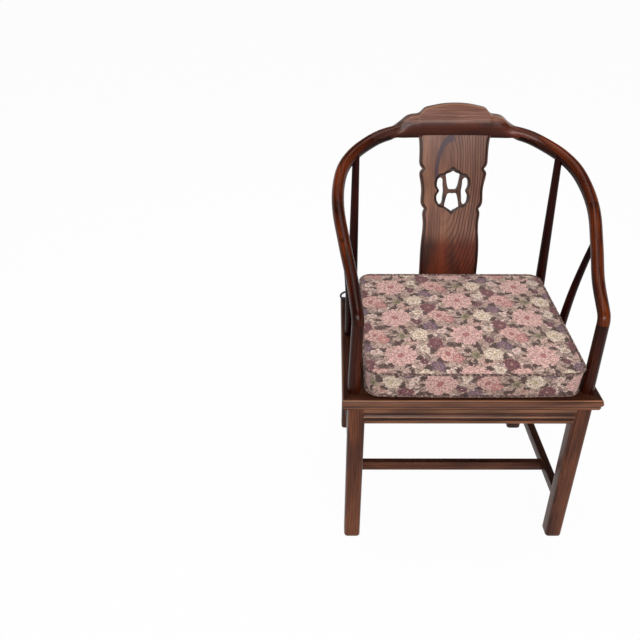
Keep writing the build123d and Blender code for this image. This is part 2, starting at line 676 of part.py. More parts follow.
# ---------------------------------------------------------------- assembly
def build():
    """Every piece by its node name; pieces on the left are mirrored from the right."""
    pieces = {}
    rails = seat_rails()
    panel = seat_panel()
    batten = panel_batten()
    pin_inset = mitre_tenon_inset + mitre_tenon_width / 2
    front_pin = frame_pin(pin_inset)
    rear_pin = frame_pin(frame_depth - pin_inset)

    front_leg = leg(front_leg_x, front_leg_y, front_leg_y - front_foot_forward)
    rear_leg = leg(rear_leg_x, rear_leg_y, rear_leg_y + rear_foot_back)
    edge = leg_size / 2 - apron_setback
    front_line = front_leg_y - edge
    rear_line = rear_leg_y + edge
    front_apron = apron((-front_leg_x, front_line), (front_leg_x, front_line), both_sides(front_leg))
    rear_apron = apron((rear_leg_x, rear_line), (-rear_leg_x, rear_line), both_sides(rear_leg))
    side_apron = apron(
        (front_leg_x + edge, front_leg_y), (rear_leg_x + edge, rear_leg_y), [front_leg, rear_leg]
    )
    side_bar = side_stretcher(front_leg, rear_leg)
    cross_bar = cross_stretcher()
    front_leg = cut(front_leg, front_apron, side_apron, side_bar)
    rear_leg = cut(rear_leg, rear_apron, side_apron, side_bar)
    side_bar = cut(side_bar, cross_bar)

    path = rail_path()
    front_cut = scarf_cutters(path, front_scarf_station)
    rear_cut = scarf_cutters(path, rear_scarf_station)
    whole_side = rail_loft(path, 0.0, 0.9, 14)
    arm_front = largest(whole_side & front_cut[0]) + elbow_bend()
    arm_corner = largest(whole_side & front_cut[1] & rear_cut[0])
    half_crest = rail_loft(path, 0.7, 1.0, 8) & rear_cut[1]
    head = cut(crest_head(), *both_sides(arm_corner))
    crest = largest(half_crest) + mirrored(largest(half_crest)) + head
    front_key = scarf_key(path, front_scarf_station, whole_side)
    rear_key = scarf_key(path, rear_scarf_station, whole_side)
    arm_front = cut(arm_front, front_key)
    arm_corner = cut(arm_corner, front_key, rear_key)
    crest = cut(crest, *both_sides(rear_key))

    front_post = front_arm_post()
    side_foot = on_frame(side_post_foot)
    side_head = on_frame(side_post_top)
    middle = (Vector(*side_foot) + Vector(*side_head)) / 2 - Vector(side_post_bow, 0, 0)
    side_line = Spline(side_foot, tuple(middle), side_head)
    side_post = round_post(side_foot, side_line, side_post_diameter, side_post_top_diameter, 6, arm_front)
    rear_foot = (rear_leg_x, rear_leg_y, seat_height)
    rear_post = round_post(
        rear_foot, Line(rear_foot, on_frame(rear_post_top)), rear_post_diameter, rear_post_top_diameter, 2,
        arm_corner,
    )
    arm_front = cut(arm_front, front_post, side_post)
    arm_corner = cut(arm_corner, rear_post)

    back_splat = largest(splat() - crest) + splat_tenons()
    crest = cut(crest, back_splat)

    rear_rail = cut(rails["rear"], back_splat, *both_sides(rear_post, rear_leg, batten, rear_pin))
    front_rail = cut(rails["front"], *both_sides(front_post, front_leg, batten, front_pin))
    right_rail = cut(
        rails["right"], front_post, side_post, rear_post, front_leg, rear_leg, front_pin, rear_pin
    )

    pieces["seat_rail_front"] = front_rail
    pieces["seat_rail_rear"] = rear_rail
    pieces["seat_panel"] = panel
    pieces["apron_front"] = front_apron
    pieces["apron_rear"] = rear_apron
    pieces["cross_stretcher"] = cross_bar
    pieces["crest_rail"] = crest
    pieces["back_splat"] = back_splat
    pieces["seat_cushion"] = seat_cushion()
    pieces["frame_pins"] = Compound(children=[pin.solid() for pin in both_sides(front_pin, rear_pin)])
    pieces["rail_scarf_keys"] = Compound(children=[key.solid() for key in both_sides(front_key, rear_key)])
    paired = {
        "seat_rail": right_rail, "panel_batten": batten, "front_leg": front_leg, "rear_leg": rear_leg,
        "apron": side_apron, "side_stretcher": side_bar, "front_post": front_post,
        "side_post": side_post, "rear_post": rear_post, "arm_front": arm_front,
        "arm_corner": arm_corner, "cushion_tie": cushion_tie(),
    }
    for name, shape in paired.items():
        pieces[name + "_right"] = shape
        pieces[name + "_left"] = mirrored(shape)
    return pieces


pieces = build()
bounds = [shape.bounding_box() for shape in pieces.values()]
front_most = min(box.min.Y for box in bounds)
rear_most = max(box.max.Y for box in bounds)
centring = Location((0, -(front_most + rear_most) / 2, 0))
for name, shape in pieces.items():
    export_step(centring * shape, "parts/" + name + ".step")
print("pieces", len(pieces), "width", round(max(box.max.X for box in bounds) * 2, 1))
print("depth", round(rear_most - front_most, 1), "height", round(max(box.max.Z for box in bounds), 1))
print("moved along y by", round(-(front_most + rear_most) / 2, 3))
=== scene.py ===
import math

import bmesh
import bpy
import numpy as np
from mathutils import Matrix, Vector


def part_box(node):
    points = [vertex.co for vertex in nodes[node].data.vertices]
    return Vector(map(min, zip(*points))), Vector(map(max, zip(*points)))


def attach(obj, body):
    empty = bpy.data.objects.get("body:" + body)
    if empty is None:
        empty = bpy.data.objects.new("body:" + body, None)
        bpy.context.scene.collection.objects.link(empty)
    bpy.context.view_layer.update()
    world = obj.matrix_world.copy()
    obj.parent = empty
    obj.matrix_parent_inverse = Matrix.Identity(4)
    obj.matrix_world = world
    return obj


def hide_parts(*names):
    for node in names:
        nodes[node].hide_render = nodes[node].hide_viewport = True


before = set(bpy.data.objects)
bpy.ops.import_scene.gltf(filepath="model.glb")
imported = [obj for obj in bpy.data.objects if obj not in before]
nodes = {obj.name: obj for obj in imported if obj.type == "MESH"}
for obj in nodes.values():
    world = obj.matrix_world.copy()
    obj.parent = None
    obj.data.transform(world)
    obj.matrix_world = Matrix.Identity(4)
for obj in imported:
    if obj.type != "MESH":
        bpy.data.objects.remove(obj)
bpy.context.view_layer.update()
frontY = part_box("seat_rail_front")[0].y  # the front edge of the seat frame; depths below are counted from it
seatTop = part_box("seat_rail_front")[1].z
sides = ((1, "right"), (-1, "left"))


# An object for this data, linked to the scene.
def linkObject(name, data):
    made = bpy.data.objects.new(name, data)
    bpy.context.scene.collection.objects.link(made)
    return made


cameraSet = {
    "place": (-0.3236, -1.1693, 1.3469),  # metres, y from the front edge of the seat frame
    "heading": 0.29,                      # degrees from +Y towards +X
    "down": 32.11,
    "roll": 0.24,
    "lens": 40.56,
}


# Camera matrix from heading, pitch and roll: columns are right, up and backwards.
def makeCamera(opts):
    heading, down = math.radians(opts["heading"]), math.radians(opts["down"])
    ahead = Vector((math.sin(heading) * math.cos(down), math.cos(heading) * math.cos(down), -math.sin(down)))
    right = Vector((math.cos(heading), -math.sin(heading), 0))
    up = right.cross(ahead)
    turn = Matrix((right, up, -ahead)).transposed().to_4x4()
    x, y, z = opts["place"]
    data = bpy.data.cameras.new("camera")
    data.lens = opts["lens"]
    data.clip_end = 100
    camera = linkObject("camera", data)
    roll = Matrix.Rotation(math.radians(opts["roll"]), 4, "Z")
    camera.matrix_world = Matrix.Translation((x, y + frontY, z)) @ turn @ roll
    bpy.context.scene.camera = camera


makeCamera(cameraSet)


# Sum of the distances between neighbouring points.
def lineLength(line):
    return float(np.linalg.norm(np.diff(line, axis=0), axis=1).sum())


# Distance run along the line as far as each point.
def lineRun(line):
    return np.concatenate([[0], np.cumsum(np.linalg.norm(np.diff(line, axis=0), axis=1))])


tieSet = {
    "diameter": 0.005,
    "route": [  # metres, y from the front edge of the seat frame; the right-hand tie
        (0.2064, 0.3953, 0.4310), (0.2095, 0.4030, 0.4315), (0.2145, 0.4155, 0.4325),
        (0.2240, 0.4265, 0.4335), (0.2385, 0.4275, 0.4340), (0.2520, 0.4215, 0.4335),
        (0.2630, 0.4140, 0.4310), (0.2640, 0.4065, 0.4265), (0.2550, 0.4025, 0.4215),
        (0.2515, 0.4140, 0.4195), (0.2430, 0.4240, 0.4190), (0.2290, 0.4260, 0.4192),
        (0.2170, 0.4170, 0.4200), (0.2105, 0.4050, 0.4210), (0.2066, 0.3954, 0.4215),
    ],
}


# A NURBS curve along the route; it is as thick as each point's radius times the given thickness.
def cordCurve(name, route, radius, thickness):
    data = bpy.data.curves.new(name, "CURVE")
    data.dimensions = "3D"
    data.bevel_depth = thickness
    data.bevel_resolution = 5
    data.resolution_u = 16
    spline = data.splines.new("NURBS")
    spline.points.add(len(route) - 1)
    for point, place in zip(spline.points, route):
        point.co = (*place, 1)
        point.radius = radius
    spline.order_u = 3
    spline.use_endpoint_u = True
    return data


# A braided cord from the cushion round the rear post and back; a bare copy of it is made into a mesh and
# removed again.
def makeTie(name, side, opts):
    route = [(side * x, y + frontY, z) for x, y, z in opts["route"]]
    radius = opts["diameter"] / 2
    cord = linkObject(name + "_cord", cordCurve(name + "_cord", route, radius, 1.0))
    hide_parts(name)
    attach(cord, "root")
    bpy.context.view_layer.update()
    line = cordCurve(name + "_line", route, radius, 0.0)
    probe = bpy.data.objects.new(name + "_line", line)
    mesh = bpy.data.meshes.new_from_object(probe)
    bpy.data.objects.remove(probe)
    bpy.data.curves.remove(line)
    bpy.data.meshes.remove(mesh)
    return cord


ties = [makeTie("cushion_tie_" + word, side, tieSet) for side, word in sides]
print("camera and ties done")


# Points whose y counts from the front edge of the seat frame, moved to the chair's own frame.
def depth(points):
    return np.asarray(points, float) + np.array([0.0, frontY, 0.0])


# Cubic through all points with continuous bend, chord length as its parameter, then evenly resampled.
def smoothCurve(points, count, startDir=None, endDir=None):
    points = np.asarray(points, float)
    steps = np.linalg.norm(np.diff(points, axis=0), axis=1)
    number = len(points)
    matrix = np.zeros((number, number))
    right = np.zeros_like(points)
    for i in range(1, number - 1):
        matrix[i, i - 1:i + 2] = steps[i], 2 * (steps[i - 1] + steps[i]), steps[i - 1]
        right[i] = 3 * (steps[i - 1] * (points[i + 1] - points[i]) / steps[i]
                        + steps[i] * (points[i] - points[i - 1]) / steps[i - 1])
    for row, near, direction in ((0, 1, startDir), (-1, -2, endDir)):
        if direction is None:
            matrix[row, row], matrix[row, near] = 2, 1
            right[row] = 3 * (points[near] - points[row]) / steps[row] * (1 if row == 0 else -1)
        else:
            matrix[row, row] = 1
            right[row] = np.asarray(direction, float) / np.linalg.norm(direction)
    slopes = np.linalg.solve(matrix, right)
    place = np.concatenate([[0], np.cumsum(steps)])
    at = np.linspace(0, place[-1], 1200)
    seg = np.clip(np.searchsorted(place, at, side="right") - 1, 0, number - 2)
    h = steps[seg][:, None]
    t = ((at - place[seg]) / steps[seg])[:, None]
    line = ((2 * t**3 - 3 * t**2 + 1) * points[seg] + (t**3 - 2 * t**2 + t) * h * slopes[seg]
            + (3 * t**2 - 2 * t**3) * points[seg + 1] + (t**3 - t**2) * h * slopes[seg + 1])
    return evenly(line, count)


# The same line with count points at equal distances along it.
def evenly(line, count):
    run = lineRun(line)
    at = np.linspace(0, run[-1], count)
    return np.stack([np.interp(at, run, line[:, k]) for k in range(line.shape[1])], axis=1)


# Tangent, level side and up directions along a line; side points away from the seat on a rail.
def curveFrames(line, heading=None):
    tangent = np.gradient(line, axis=0)
    tangent /= np.linalg.norm(tangent, axis=1, keepdims=True)
    flat = tangent[:, :2] if heading is None else np.tile(np.asarray(heading, float), (len(line), 1))
    flat = flat / np.linalg.norm(flat, axis=1, keepdims=True)
    side = np.stack([flat[:, 1], -flat[:, 0], np.zeros(len(line))], axis=1)
    up = np.cross(side, tangent)
    return tangent, side, up


# Six times the enclosed volume: positive when the faces point outwards.
def signedVolume(verts, quads):
    a, b, c, d = (verts[quads[:, k]] for k in range(4))
    return float((np.einsum("ij,ij->i", a, np.cross(b, c)) + np.einsum("ij,ij->i", a, np.cross(c, d))).sum())


# A finished piece from arrays: smooth shaded, sharp where faces turn by more than the given angle.
def addMesh(name, verts, faces, wood, grain, wearAndPaintedLight, sharp=35.0):
    mesh = bpy.data.meshes.new(name + "_wood")
    mesh.from_pydata(np.asarray(verts).tolist(), [], [list(map(int, face)) for face in faces])
    addWoodMaps(mesh, grain, wearAndPaintedLight)
    smoothFaces(mesh)
    mesh.set_sharp_from_angle(angle=math.radians(sharp))
    piece = linkObject(name + "_wood", mesh)
    finishPiece(piece, name, woods[wood])


# Where each point lies on its board, and how pale (above 0: rubbing, partly a painted highlight) or dark
# (below 0: painted shade) it is.
def addWoodMaps(mesh, grain, wearAndPaintedLight):
    maps = (("grain", "FLOAT_VECTOR", "vector", grain), ("wearAndPaintedLight", "FLOAT", "value", wearAndPaintedLight))
    for name, kind, key, values in maps:
        data = mesh.attributes.new(name, kind, "POINT").data
        data.foreach_set(key, np.asarray(values, np.float32).ravel())


# Smooth shading on every face.
def smoothFaces(mesh):
    mesh.polygons.foreach_set("use_smooth", np.ones(len(mesh.polygons), bool))


# The piece rides on the chair, stands for its CAD node and gets its material.
def finishPiece(piece, replaced, material):
    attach(piece, "root")
    if replaced:
        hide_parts(replaced)
    piece.data.materials.append(material)


# Quads between rings of equal size, and a flat cap at each end unless the rings wrap round.
def ringMesh(rings, wrap=False):
    count, size = rings.shape[:2]
    verts = rings.reshape(-1, 3)
    i, j = np.meshgrid(np.arange(count if wrap else count - 1), np.arange(size), indexing="ij")
    nextRing, nextSpot = (i + 1) % count, (j + 1) % size
    quads = np.stack([i * size + j, i * size + nextSpot, nextRing * size + nextSpot, nextRing * size + j],
                     axis=-1).reshape(-1, 4)
    caps = [] if wrap else [list(range(size))[::-1], list(range((count - 1) * size, count * size))]
    volume = signedVolume(verts, quads)
    for cap in caps:
        corner = verts[cap]
        volume += float(np.einsum("ij,ij->i", np.cross(corner[1:-1], corner[2:]),
                                  np.tile(corner[0], (len(cap) - 2, 1))).sum())
    if volume < 0:
        quads = quads[:, ::-1]
        caps = [cap[::-1] for cap in caps]
    return verts, [*quads.tolist(), *caps]


# Closed outline of a rectangle with quarter-round corners, anticlockwise from the right side.
def roundedSquare(width, height, radius, arcSteps=6):
    turns = np.linspace(0, math.pi / 2, arcSteps)
    spots = []
    for quarter, (sx, sy) in enumerate(((1, 1), (-1, 1), (-1, -1), (1, -1))):
        angle = turns + quarter * math.pi / 2
        centre = np.array([sx * (width / 2 - radius), sy * (height / 2 - radius)])
        spots.append(centre + radius * np.stack([np.cos(angle), np.sin(angle)], axis=1))
    return np.concatenate(spots)


# Rings of points round a line: place = line + side * px + up * py.
def ringsAlong(line, side, up, px, py):
    return line[:, None, :] + side[:, None, :] * px[..., None] + up[:, None, :] * py[..., None]


# A closed profile carried along a line and scaled there.
def sweepBar(name, line, profile, wood, grainShift, wearAndPaintedLight, heading=None, sizes=None):
    _, side, up = curveFrames(line, heading)
    scale = (np.ones(len(line)) if sizes is None else sizes)[:, None]
    px = profile[None, :, 0] * scale
    py = profile[None, :, 1] * scale
    rings = ringsAlong(line, side, up, px, py)
    run = lineRun(line)
    along = np.repeat(run[:, None], profile.shape[0], axis=1)
    grain = np.stack([along, px, py], axis=-1) + np.asarray(grainShift)
    verts, faces = ringMesh(rings)
    addMesh(name, verts, faces, wood, grain.reshape(-1, 3), np.tile(wearAndPaintedLight, (len(line), 1)))


# A shader node with its settings and inputs, in the tree of the sockets that are linked to it.
def addNode(kind, inputs=None, tree=None, **settings):
    sockets = {key: value for key, value in (inputs or {}).items() if isinstance(value, bpy.types.NodeSocket)}
    tree = tree or next(iter(sockets.values())).id_data
    made = tree.nodes.new(kind)
    for key, value in settings.items():
        setattr(made, key, value)
    for key, value in (inputs or {}).items():
        if key in sockets:
            tree.links.new(value, made.inputs[key])
        else:
            made.inputs[key].default_value = value
    return made


# One arithmetic step on floats or sockets.
def calc(operation, *values, clamp=False):
    return addNode("ShaderNodeMath", dict(enumerate(values)), operation=operation, use_clamp=clamp).outputs[0]


# Product, sum and difference.
def times(first, second):
    return calc("MULTIPLY", first, second)


def plus(first, second, clamp=False):
    return calc("ADD", first, second, clamp=clamp)


def minus(first, second, clamp=False):
    return calc("SUBTRACT", first, second, clamp=clamp)


# Mix of two colours, each out of 255 or from a socket.
def blendColour(factor, first, second, mode="MIX"):
    first, second = (colour(value) if isinstance(value, tuple) else value for value in (first, second))
    inputs = {0: factor, 6: first, 7: second}
    return addNode("ShaderNodeMix", inputs, data_type="RGBA", blend_type=mode).outputs[2]


# The vector scaled on each axis.
def stretch(vector, scale):
    return addNode("ShaderNodeMapping", {"Vector": vector, "Scale": scale}).outputs[0]


# Soft noise from 0 to 1.
def noise(vector, scale, detail=2.0, roughness=0.5):
    made = addNode("ShaderNodeTexNoise", {"Vector": vector, "Scale": scale, "Detail": detail,
                   "Roughness": roughness})
    return made.outputs[0]


# Smooth step of a value from low..high to toLow..toHigh.
def rampValue(value, low, high, toLow=0.0, toHigh=1.0):
    made = addNode("ShaderNodeMapRange", {0: value, 1: low, 2: high, 3: toLow, 4: toHigh},
                   interpolation_type="SMOOTHSTEP")
    return made.outputs[0]


# A display colour out of 255, as the linear value that shaders use.
def colour(shown):
    parts = np.array(shown) / 255
    linear = np.where(parts <= 0.04045, parts / 12.92, ((parts + 0.055) / 1.055) ** 2.4)
    return (*linear.tolist(), 1.0)


# An empty node material with its output.
def newMaterial(name):
    material = bpy.data.materials.new(name)
    material.use_nodes = True
    tree = material.node_tree
    tree.nodes.clear()
    return material, tree, tree.nodes.new("ShaderNodeOutputMaterial")


# A shader with its colour, roughness and a bump from height; the other inputs are constants on its sockets.
def finishShader(output, tone, rough, height, relief, distance=0.0004, **constants):
    bump = addNode("ShaderNodeBump", {"Strength": relief, "Distance": distance, "Height": height}).outputs[0]
    shader = addNode("ShaderNodeBsdfPrincipled", {
        "Base Color": tone, "Roughness": rough, "Normal": bump, **constants})
    output.id_data.links.new(shader.outputs[0], output.inputs[0])


grainSet = {"wander": (4.2, 9, 9), "fibres": (7, 330, 330), "pores": (28, 1500, 1500), "mottle": (6, 22, 22)}
# The pale tint is for rubbed arrises and is partly a painted highlight; the dark tint is painted shade;
# lowDark is the dark orange low on the crest and splat, below their painted reflection.
tintSet = {"rubAndPaintedHighlight": (206, 156, 118), "paintedShadeTint": (24, 5, 3), "lowDark": (34, 9, 3)}

woodCommon = {"lightShare": 0.45, "ring": 0.0050, "ringDepth": 0.45, "pith": (0.031, 0.047), "wander": 0.030}

woodSets = {
    "rail": {"dark": (26, 6, 3), "mid": (78, 27, 10), "light": (134, 60, 22), "line": (16, 4, 2),
             "lightShare": 0.6, "ringDepth": 0.6, "gloss": 0.27, "shine": 0.11, "relief": 0.04},
    # A darker copy of the wood: painted shade for the side and rear posts.
    "paintedShade": {"dark": (22, 4, 3), "mid": (52, 12, 8), "light": (84, 28, 16), "line": (14, 3, 2),
              "lightShare": 0.3, "ringDepth": 0.5, "gloss": 0.3, "shine": 0.07, "relief": 0.05},
    # The crest's pale mauve colours are partly its wood and partly a painted reflection; low in its section
    # (lowTone) it turns dark orange, where that painted reflection stops.
    "crest": {"dark": (102, 60, 46), "mid": (146, 100, 84), "light": (168, 122, 104), "line": (62, 32, 26),
              "lightShare": 0.4, "ringDepth": 0.35, "wander": 0.026, "gloss": 0.30, "shine": 0.14,
              "relief": 0.08, "lowTone": (108, 34, 8), "lowAxis": 2, "lowFrom": 0.0350, "lowTo": 0.0280},
    "frame": {"dark": (62, 25, 13), "mid": (118, 66, 42), "light": (152, 94, 62), "line": (40, 16, 12),
              "ring": 0.0060, "gloss": 0.36, "shine": 0.2, "relief": 0.12},
    "leg": {"dark": (48, 19, 10), "mid": (106, 56, 34), "light": (142, 84, 52), "line": (36, 15, 11),
            "ring": 0.0046, "wander": 0.026, "gloss": 0.38, "shine": 0.18, "relief": 0.12},
    # The splat's pale mauve colours are partly its wood and partly a painted reflection; towards its foot
    # (lowTone) it turns dark orange, where that painted reflection stops.
    "splat": {"dark": (100, 62, 48), "mid": (142, 94, 72), "light": (166, 118, 92), "line": (52, 30, 28),
              "lightShare": 0.5, "ring": 0.0062, "ringDepth": 0.85, "pith": (0.022, 0.006), "wander": 0.020,
              "knot": {"height": 0.742, "squeeze": 0.30, "fineFrom": -0.022, "fineTo": 0.014,
                       "bandAt": (0.004, -0.736), "bandSqueeze": 0.52, "band": (0.0345, 0.0430),
                       "bandReflectionTone": (60, 42, 56)},
              "gloss": 0.34, "shine": 0.15, "relief": 0.08, "lowTone": (110, 36, 8),
              "lowAxis": 0, "lowFrom": 0.602, "lowTo": 0.560},
    "bare_boards": {"dark": (74, 46, 30), "mid": (120, 82, 56), "light": (150, 108, 76), "line": (80, 52, 34),
                    "lightShare": 0.4, "ring": 0.006, "ringDepth": 0.3, "wander": 0.034,
                    "gloss": 0.6, "shine": 0.3, "relief": 0.14},
}


# Where on its board a point is: x along the grain, y and z across it, in metres.
def woodGrain(tree, useObject):
    if not useObject:
        return addNode("ShaderNodeAttribute", tree=tree, attribute_name="grain").outputs["Vector"]
    spot = addNode("ShaderNodeTexCoord", tree=tree).outputs["Object"]
    parts = addNode("ShaderNodeSeparateXYZ", {0: spot}).outputs
    return addNode("ShaderNodeCombineXYZ", {0: parts[1], 1: parts[0], 2: parts[2]}).outputs[0]


# Growth rings: distance from a pith that wanders along the board, cut into equal steps with a thin dark late
# edge each. Fibres and pores are noise drawn out along the grain. Marks above 0 pale it, partly as a painted
# highlight; marks below 0 darken it as painted shade.
def makeWood(name, opts, useObject):
    material, tree, output = newMaterial(name)
    grain = woodGrain(tree, useObject)
    wander = noise(stretch(grain, grainSet["wander"]), 1.0, 2.0, 0.5)
    parts = addNode("ShaderNodeSeparateXYZ", {0: grain}).outputs
    across = calc("POWER", plus(parts[1], opts["pith"][0]), 2.0)
    deep = calc("POWER", plus(parts[2], opts["pith"][1]), 2.0)
    knot = opts.get("knot")
    if knot:  # arches round one height of the board instead of lines along all of it
        rise = times(minus(parts[0], knot["height"]), knot["squeeze"])
        deep = plus(deep, calc("POWER", rise, 2.0))
    reach = calc("SQRT", plus(across, deep))
    reach = plus(reach, times(wander, opts["wander"]))
    turns = calc("FRACT", calc("DIVIDE", reach, opts["ring"]))
    late = times(rampValue(turns, 0.52, 0.86), rampValue(turns, 1.0, 0.93))
    fibres = noise(stretch(grain, grainSet["fibres"]), 1.0, 3.0, 0.6)
    pores = noise(stretch(grain, grainSet["pores"]), 1.0, 2.0, 0.6)
    mottle = noise(stretch(grain, grainSet["mottle"]), 1.0, 2.0, 0.5)
    body = plus(times(fibres, 0.62), times(mottle, 0.5))
    tone = blendColour(rampValue(body, 0.34, 0.76), opts["dark"], opts["mid"])
    bright = plus(times(mottle, 0.7), times(fibres, 0.4))
    bright = times(rampValue(bright, 0.45, 0.8), opts["lightShare"])
    tone = blendColour(bright, tone, opts["light"])
    # Low on the crest and the splat the colour turns dark orange, where the painted reflection in their paler
    # colours stops.
    if "lowTone" in opts:
        low = rampValue(parts[opts["lowAxis"]], opts["lowFrom"], opts["lowTo"], 0.0, 0.85)
        warm = blendColour(rampValue(mottle, 0.3, 0.7), tintSet["lowDark"], opts["lowTone"])
        tone = blendColour(low, tone, warm)
    if knot:
        late = times(late, rampValue(parts[1], knot["fineFrom"], knot["fineTo"], 0.12, 1.0))
        # A purple arch band across the board: a painted reflection.
        low, high = knot["band"]
        aside = calc("POWER", plus(parts[1], knot["bandAt"][0]), 2.0)
        rise = times(plus(parts[0], knot["bandAt"][1]), knot["bandSqueeze"])
        arch = calc("SQRT", plus(aside, calc("POWER", rise, 2.0)))
        arch = plus(arch, times(minus(wander, 0.5), 0.022))
        band = times(rampValue(arch, low - 0.0030, low + 0.0012),
                    rampValue(arch, high + 0.0010, high))
        band = times(band, rampValue(parts[1], 0.006, -0.006, 0.0, 0.85))
        tone = blendColour(band, tone, knot["bandReflectionTone"])
    tone = blendColour(times(late, opts["ringDepth"]), tone, opts["line"])
    poreShade = rampValue(pores, 0.36, 0.46, 0.66, 1.0)
    tone = blendColour(1.0, tone, poreShade, mode="MULTIPLY")
    wearAndPaintedLight = addNode("ShaderNodeAttribute", tree=tree, attribute_name="wearAndPaintedLight").outputs["Fac"]
    # Above 0 the pale tint: rubbing and partly a painted highlight. Below 0 the dark tint: painted shade.
    rubAndPaintedHighlight = times(calc("MAXIMUM", wearAndPaintedLight, 0.0), rampValue(mottle, 0.25, 0.6, 0.5, 1.0))
    tone = blendColour(rubAndPaintedHighlight, tone, tintSet["rubAndPaintedHighlight"])
    paintedShadeTint = calc("MAXIMUM", times(wearAndPaintedLight, -1.0), 0.0)
    tone = blendColour(paintedShadeTint, tone, tintSet["paintedShadeTint"])
    rough = plus(opts["gloss"], times(minus(fibres, 0.5), 0.2))
    height = plus(times(fibres, 0.4), poreShade)
    finishShader(output, tone, rough, height, opts["relief"], **{"Specular IOR Level": opts["shine"]})
    return material


woods = {key: makeWood("wood_" + key, {**woodCommon, **opts}, useObject=key == "bare_boards")
         for key, opts in woodSets.items()}


railSet = {
    "elbow": (0.2426, 0.0331, 0.5980),  # where the post's line meets the arm's line
    "elbowRadius": 0.020,
    "line": [
        (0.2520, 0.1230, 0.6350), (0.2620, 0.1780, 0.6640), (0.2690, 0.2200, 0.6870),
        (0.2750, 0.2580, 0.7070), (0.2782, 0.3120, 0.7310), (0.2734, 0.3671, 0.7530),
        (0.2657, 0.3994, 0.7660), (0.2517, 0.4293, 0.7780), (0.2325, 0.4549, 0.7890),
        (0.2087, 0.4769, 0.7990), (0.1793, 0.4944, 0.8100), (0.1500, 0.5040, 0.8170),
        (0.1200, 0.5090, 0.8210), (0.0830, 0.5110, 0.8230), (0.0, 0.5115, 0.8230),
    ],
    "sizes": [  # station along the line, width, height
        (0.0, 0.0250, 0.0250), (0.17, 0.0260, 0.0270), (0.38, 0.0270, 0.0290), (0.52, 0.0280, 0.0320),
        (0.68, 0.0290, 0.0320), (0.80, 0.0292, 0.0310), (0.87, 0.0310, 0.0290), (0.92, 0.0340, 0.0280),
        (1.0, 0.0340, 0.0280),
    ],
    "frontScarf": 0.42,
    "rearScarf": 0.75,
    "scarfHalf": 0.0225,
    "scarfSharp": 40,
    "scarfFade": 0.06,
    "around": 40,
    "steps": 260,
}


# The arc over the front post, then the smooth line to the middle of the crest, and its stations.
def railLine(opts):
    corner, first = depth(opts["elbow"]), depth(opts["line"])
    along = (first[0] - corner) / np.linalg.norm(first[0] - corner)
    turn = math.acos(along[2])
    reach = opts["elbowRadius"] * math.tan(turn / 2)
    rise = np.array([0.0, 0.0, 1.0])
    across = along - rise * along[2]
    across /= np.linalg.norm(across)
    centre = corner - rise * reach + across * opts["elbowRadius"]
    angles = np.linspace(0, turn, 28)[:-1]
    outward = np.sin(angles)[:, None] * rise - np.cos(angles)[:, None] * across
    arc = centre[None, :] + opts["elbowRadius"] * outward
    end = corner + along * reach
    rest = smoothCurve(np.vstack([end, first]), opts["steps"], startDir=along, endDir=(-1, 0, 0))
    return arc, rest, across[:2]


railArc, railRest, armHeading = railLine(railSet)
railRun = lineLength(railRest)
stations = np.linspace(0, 1, railSet["steps"])
sizeTable = np.array(railSet["sizes"])


# Half width and half height of the round rail at each station.
def railSizes(station):
    return (np.interp(station, sizeTable[:, 0], sizeTable[:, 1]) / 2,
            np.interp(station, sizeTable[:, 0], sizeTable[:, 2]) / 2)


# The table's three columns at the given stations.
def pick(table, at):
    return np.stack([np.interp(at, stations, table[:, k]) for k in range(3)], axis=-1)


# Unit circle.
def roundProfile(count):
    angle = np.linspace(0, 2 * math.pi, count, endpoint=False)
    return np.stack([np.cos(angle), np.sin(angle)], axis=1)


# How far a halved scarf moves a point along the rail: one way above the rail's middle and the other way below
# it, less and less with distance from the scarf.
def scarfShift(away, fade, rise):
    upper = 1 / (1 + np.exp(-rise * railSet["scarfSharp"]))
    return np.clip(1 - away / fade, 0, 1) ** 2 * railSet["scarfHalf"] / railRun * (1 - 2 * upper)


# Rings of the rail between two stations, stepped at the scarfs.
def railRings(fromStation, toStation):
    station = np.linspace(fromStation, toStation, int((toStation - fromStation) * railSet["steps"]) + 2)
    profile = roundProfile(railSet["around"])
    at = np.repeat(station[:, None], len(profile), axis=1)
    if fromStation > 0:
        at = at + scarfShift(station[:, None] - fromStation, railSet["scarfFade"], profile[:, 1])
    at = at + scarfShift(toStation - station[:, None], railSet["scarfFade"], profile[:, 1])
    _, side, up = curveFrames(railRest)
    wide, tall = railSizes(at)
    rings = (pick(railRest, at) + pick(side, at) * (wide * profile[None, :, 0])[..., None]
             + pick(up, at) * (tall * profile[None, :, 1])[..., None])
    grain = np.stack([at * railRun, wide * profile[None, :, 0], tall * profile[None, :, 1]], axis=-1)
    return rings, grain


# Elbow rings over the post, then the rail as far as the front scarf.
def armFront(side, word):
    _, arcSide, arcUp = curveFrames(np.vstack([railArc, railRest[:2]]), armHeading)
    radius = railSet["sizes"][0][1] / 2
    profile = roundProfile(railSet["around"]) * radius
    arc = ringsAlong(railArc, arcSide[:-2], arcUp[:-2], profile[None, :, 0], profile[None, :, 1])
    rings, grain = railRings(0.0, railSet["frontScarf"])
    back = np.linspace(-lineLength(railArc), -0.001, len(railArc))
    arcGrain = np.concatenate([np.repeat(back[:, None, None], profile.shape[0], axis=1),
                               np.repeat(profile[None], len(railArc), axis=0)], axis=2)
    rings, grain = np.concatenate([arc, rings]), np.concatenate([arcGrain, grain])
    finishRail("arm_front_" + word, rings, grain, side, 0.3)


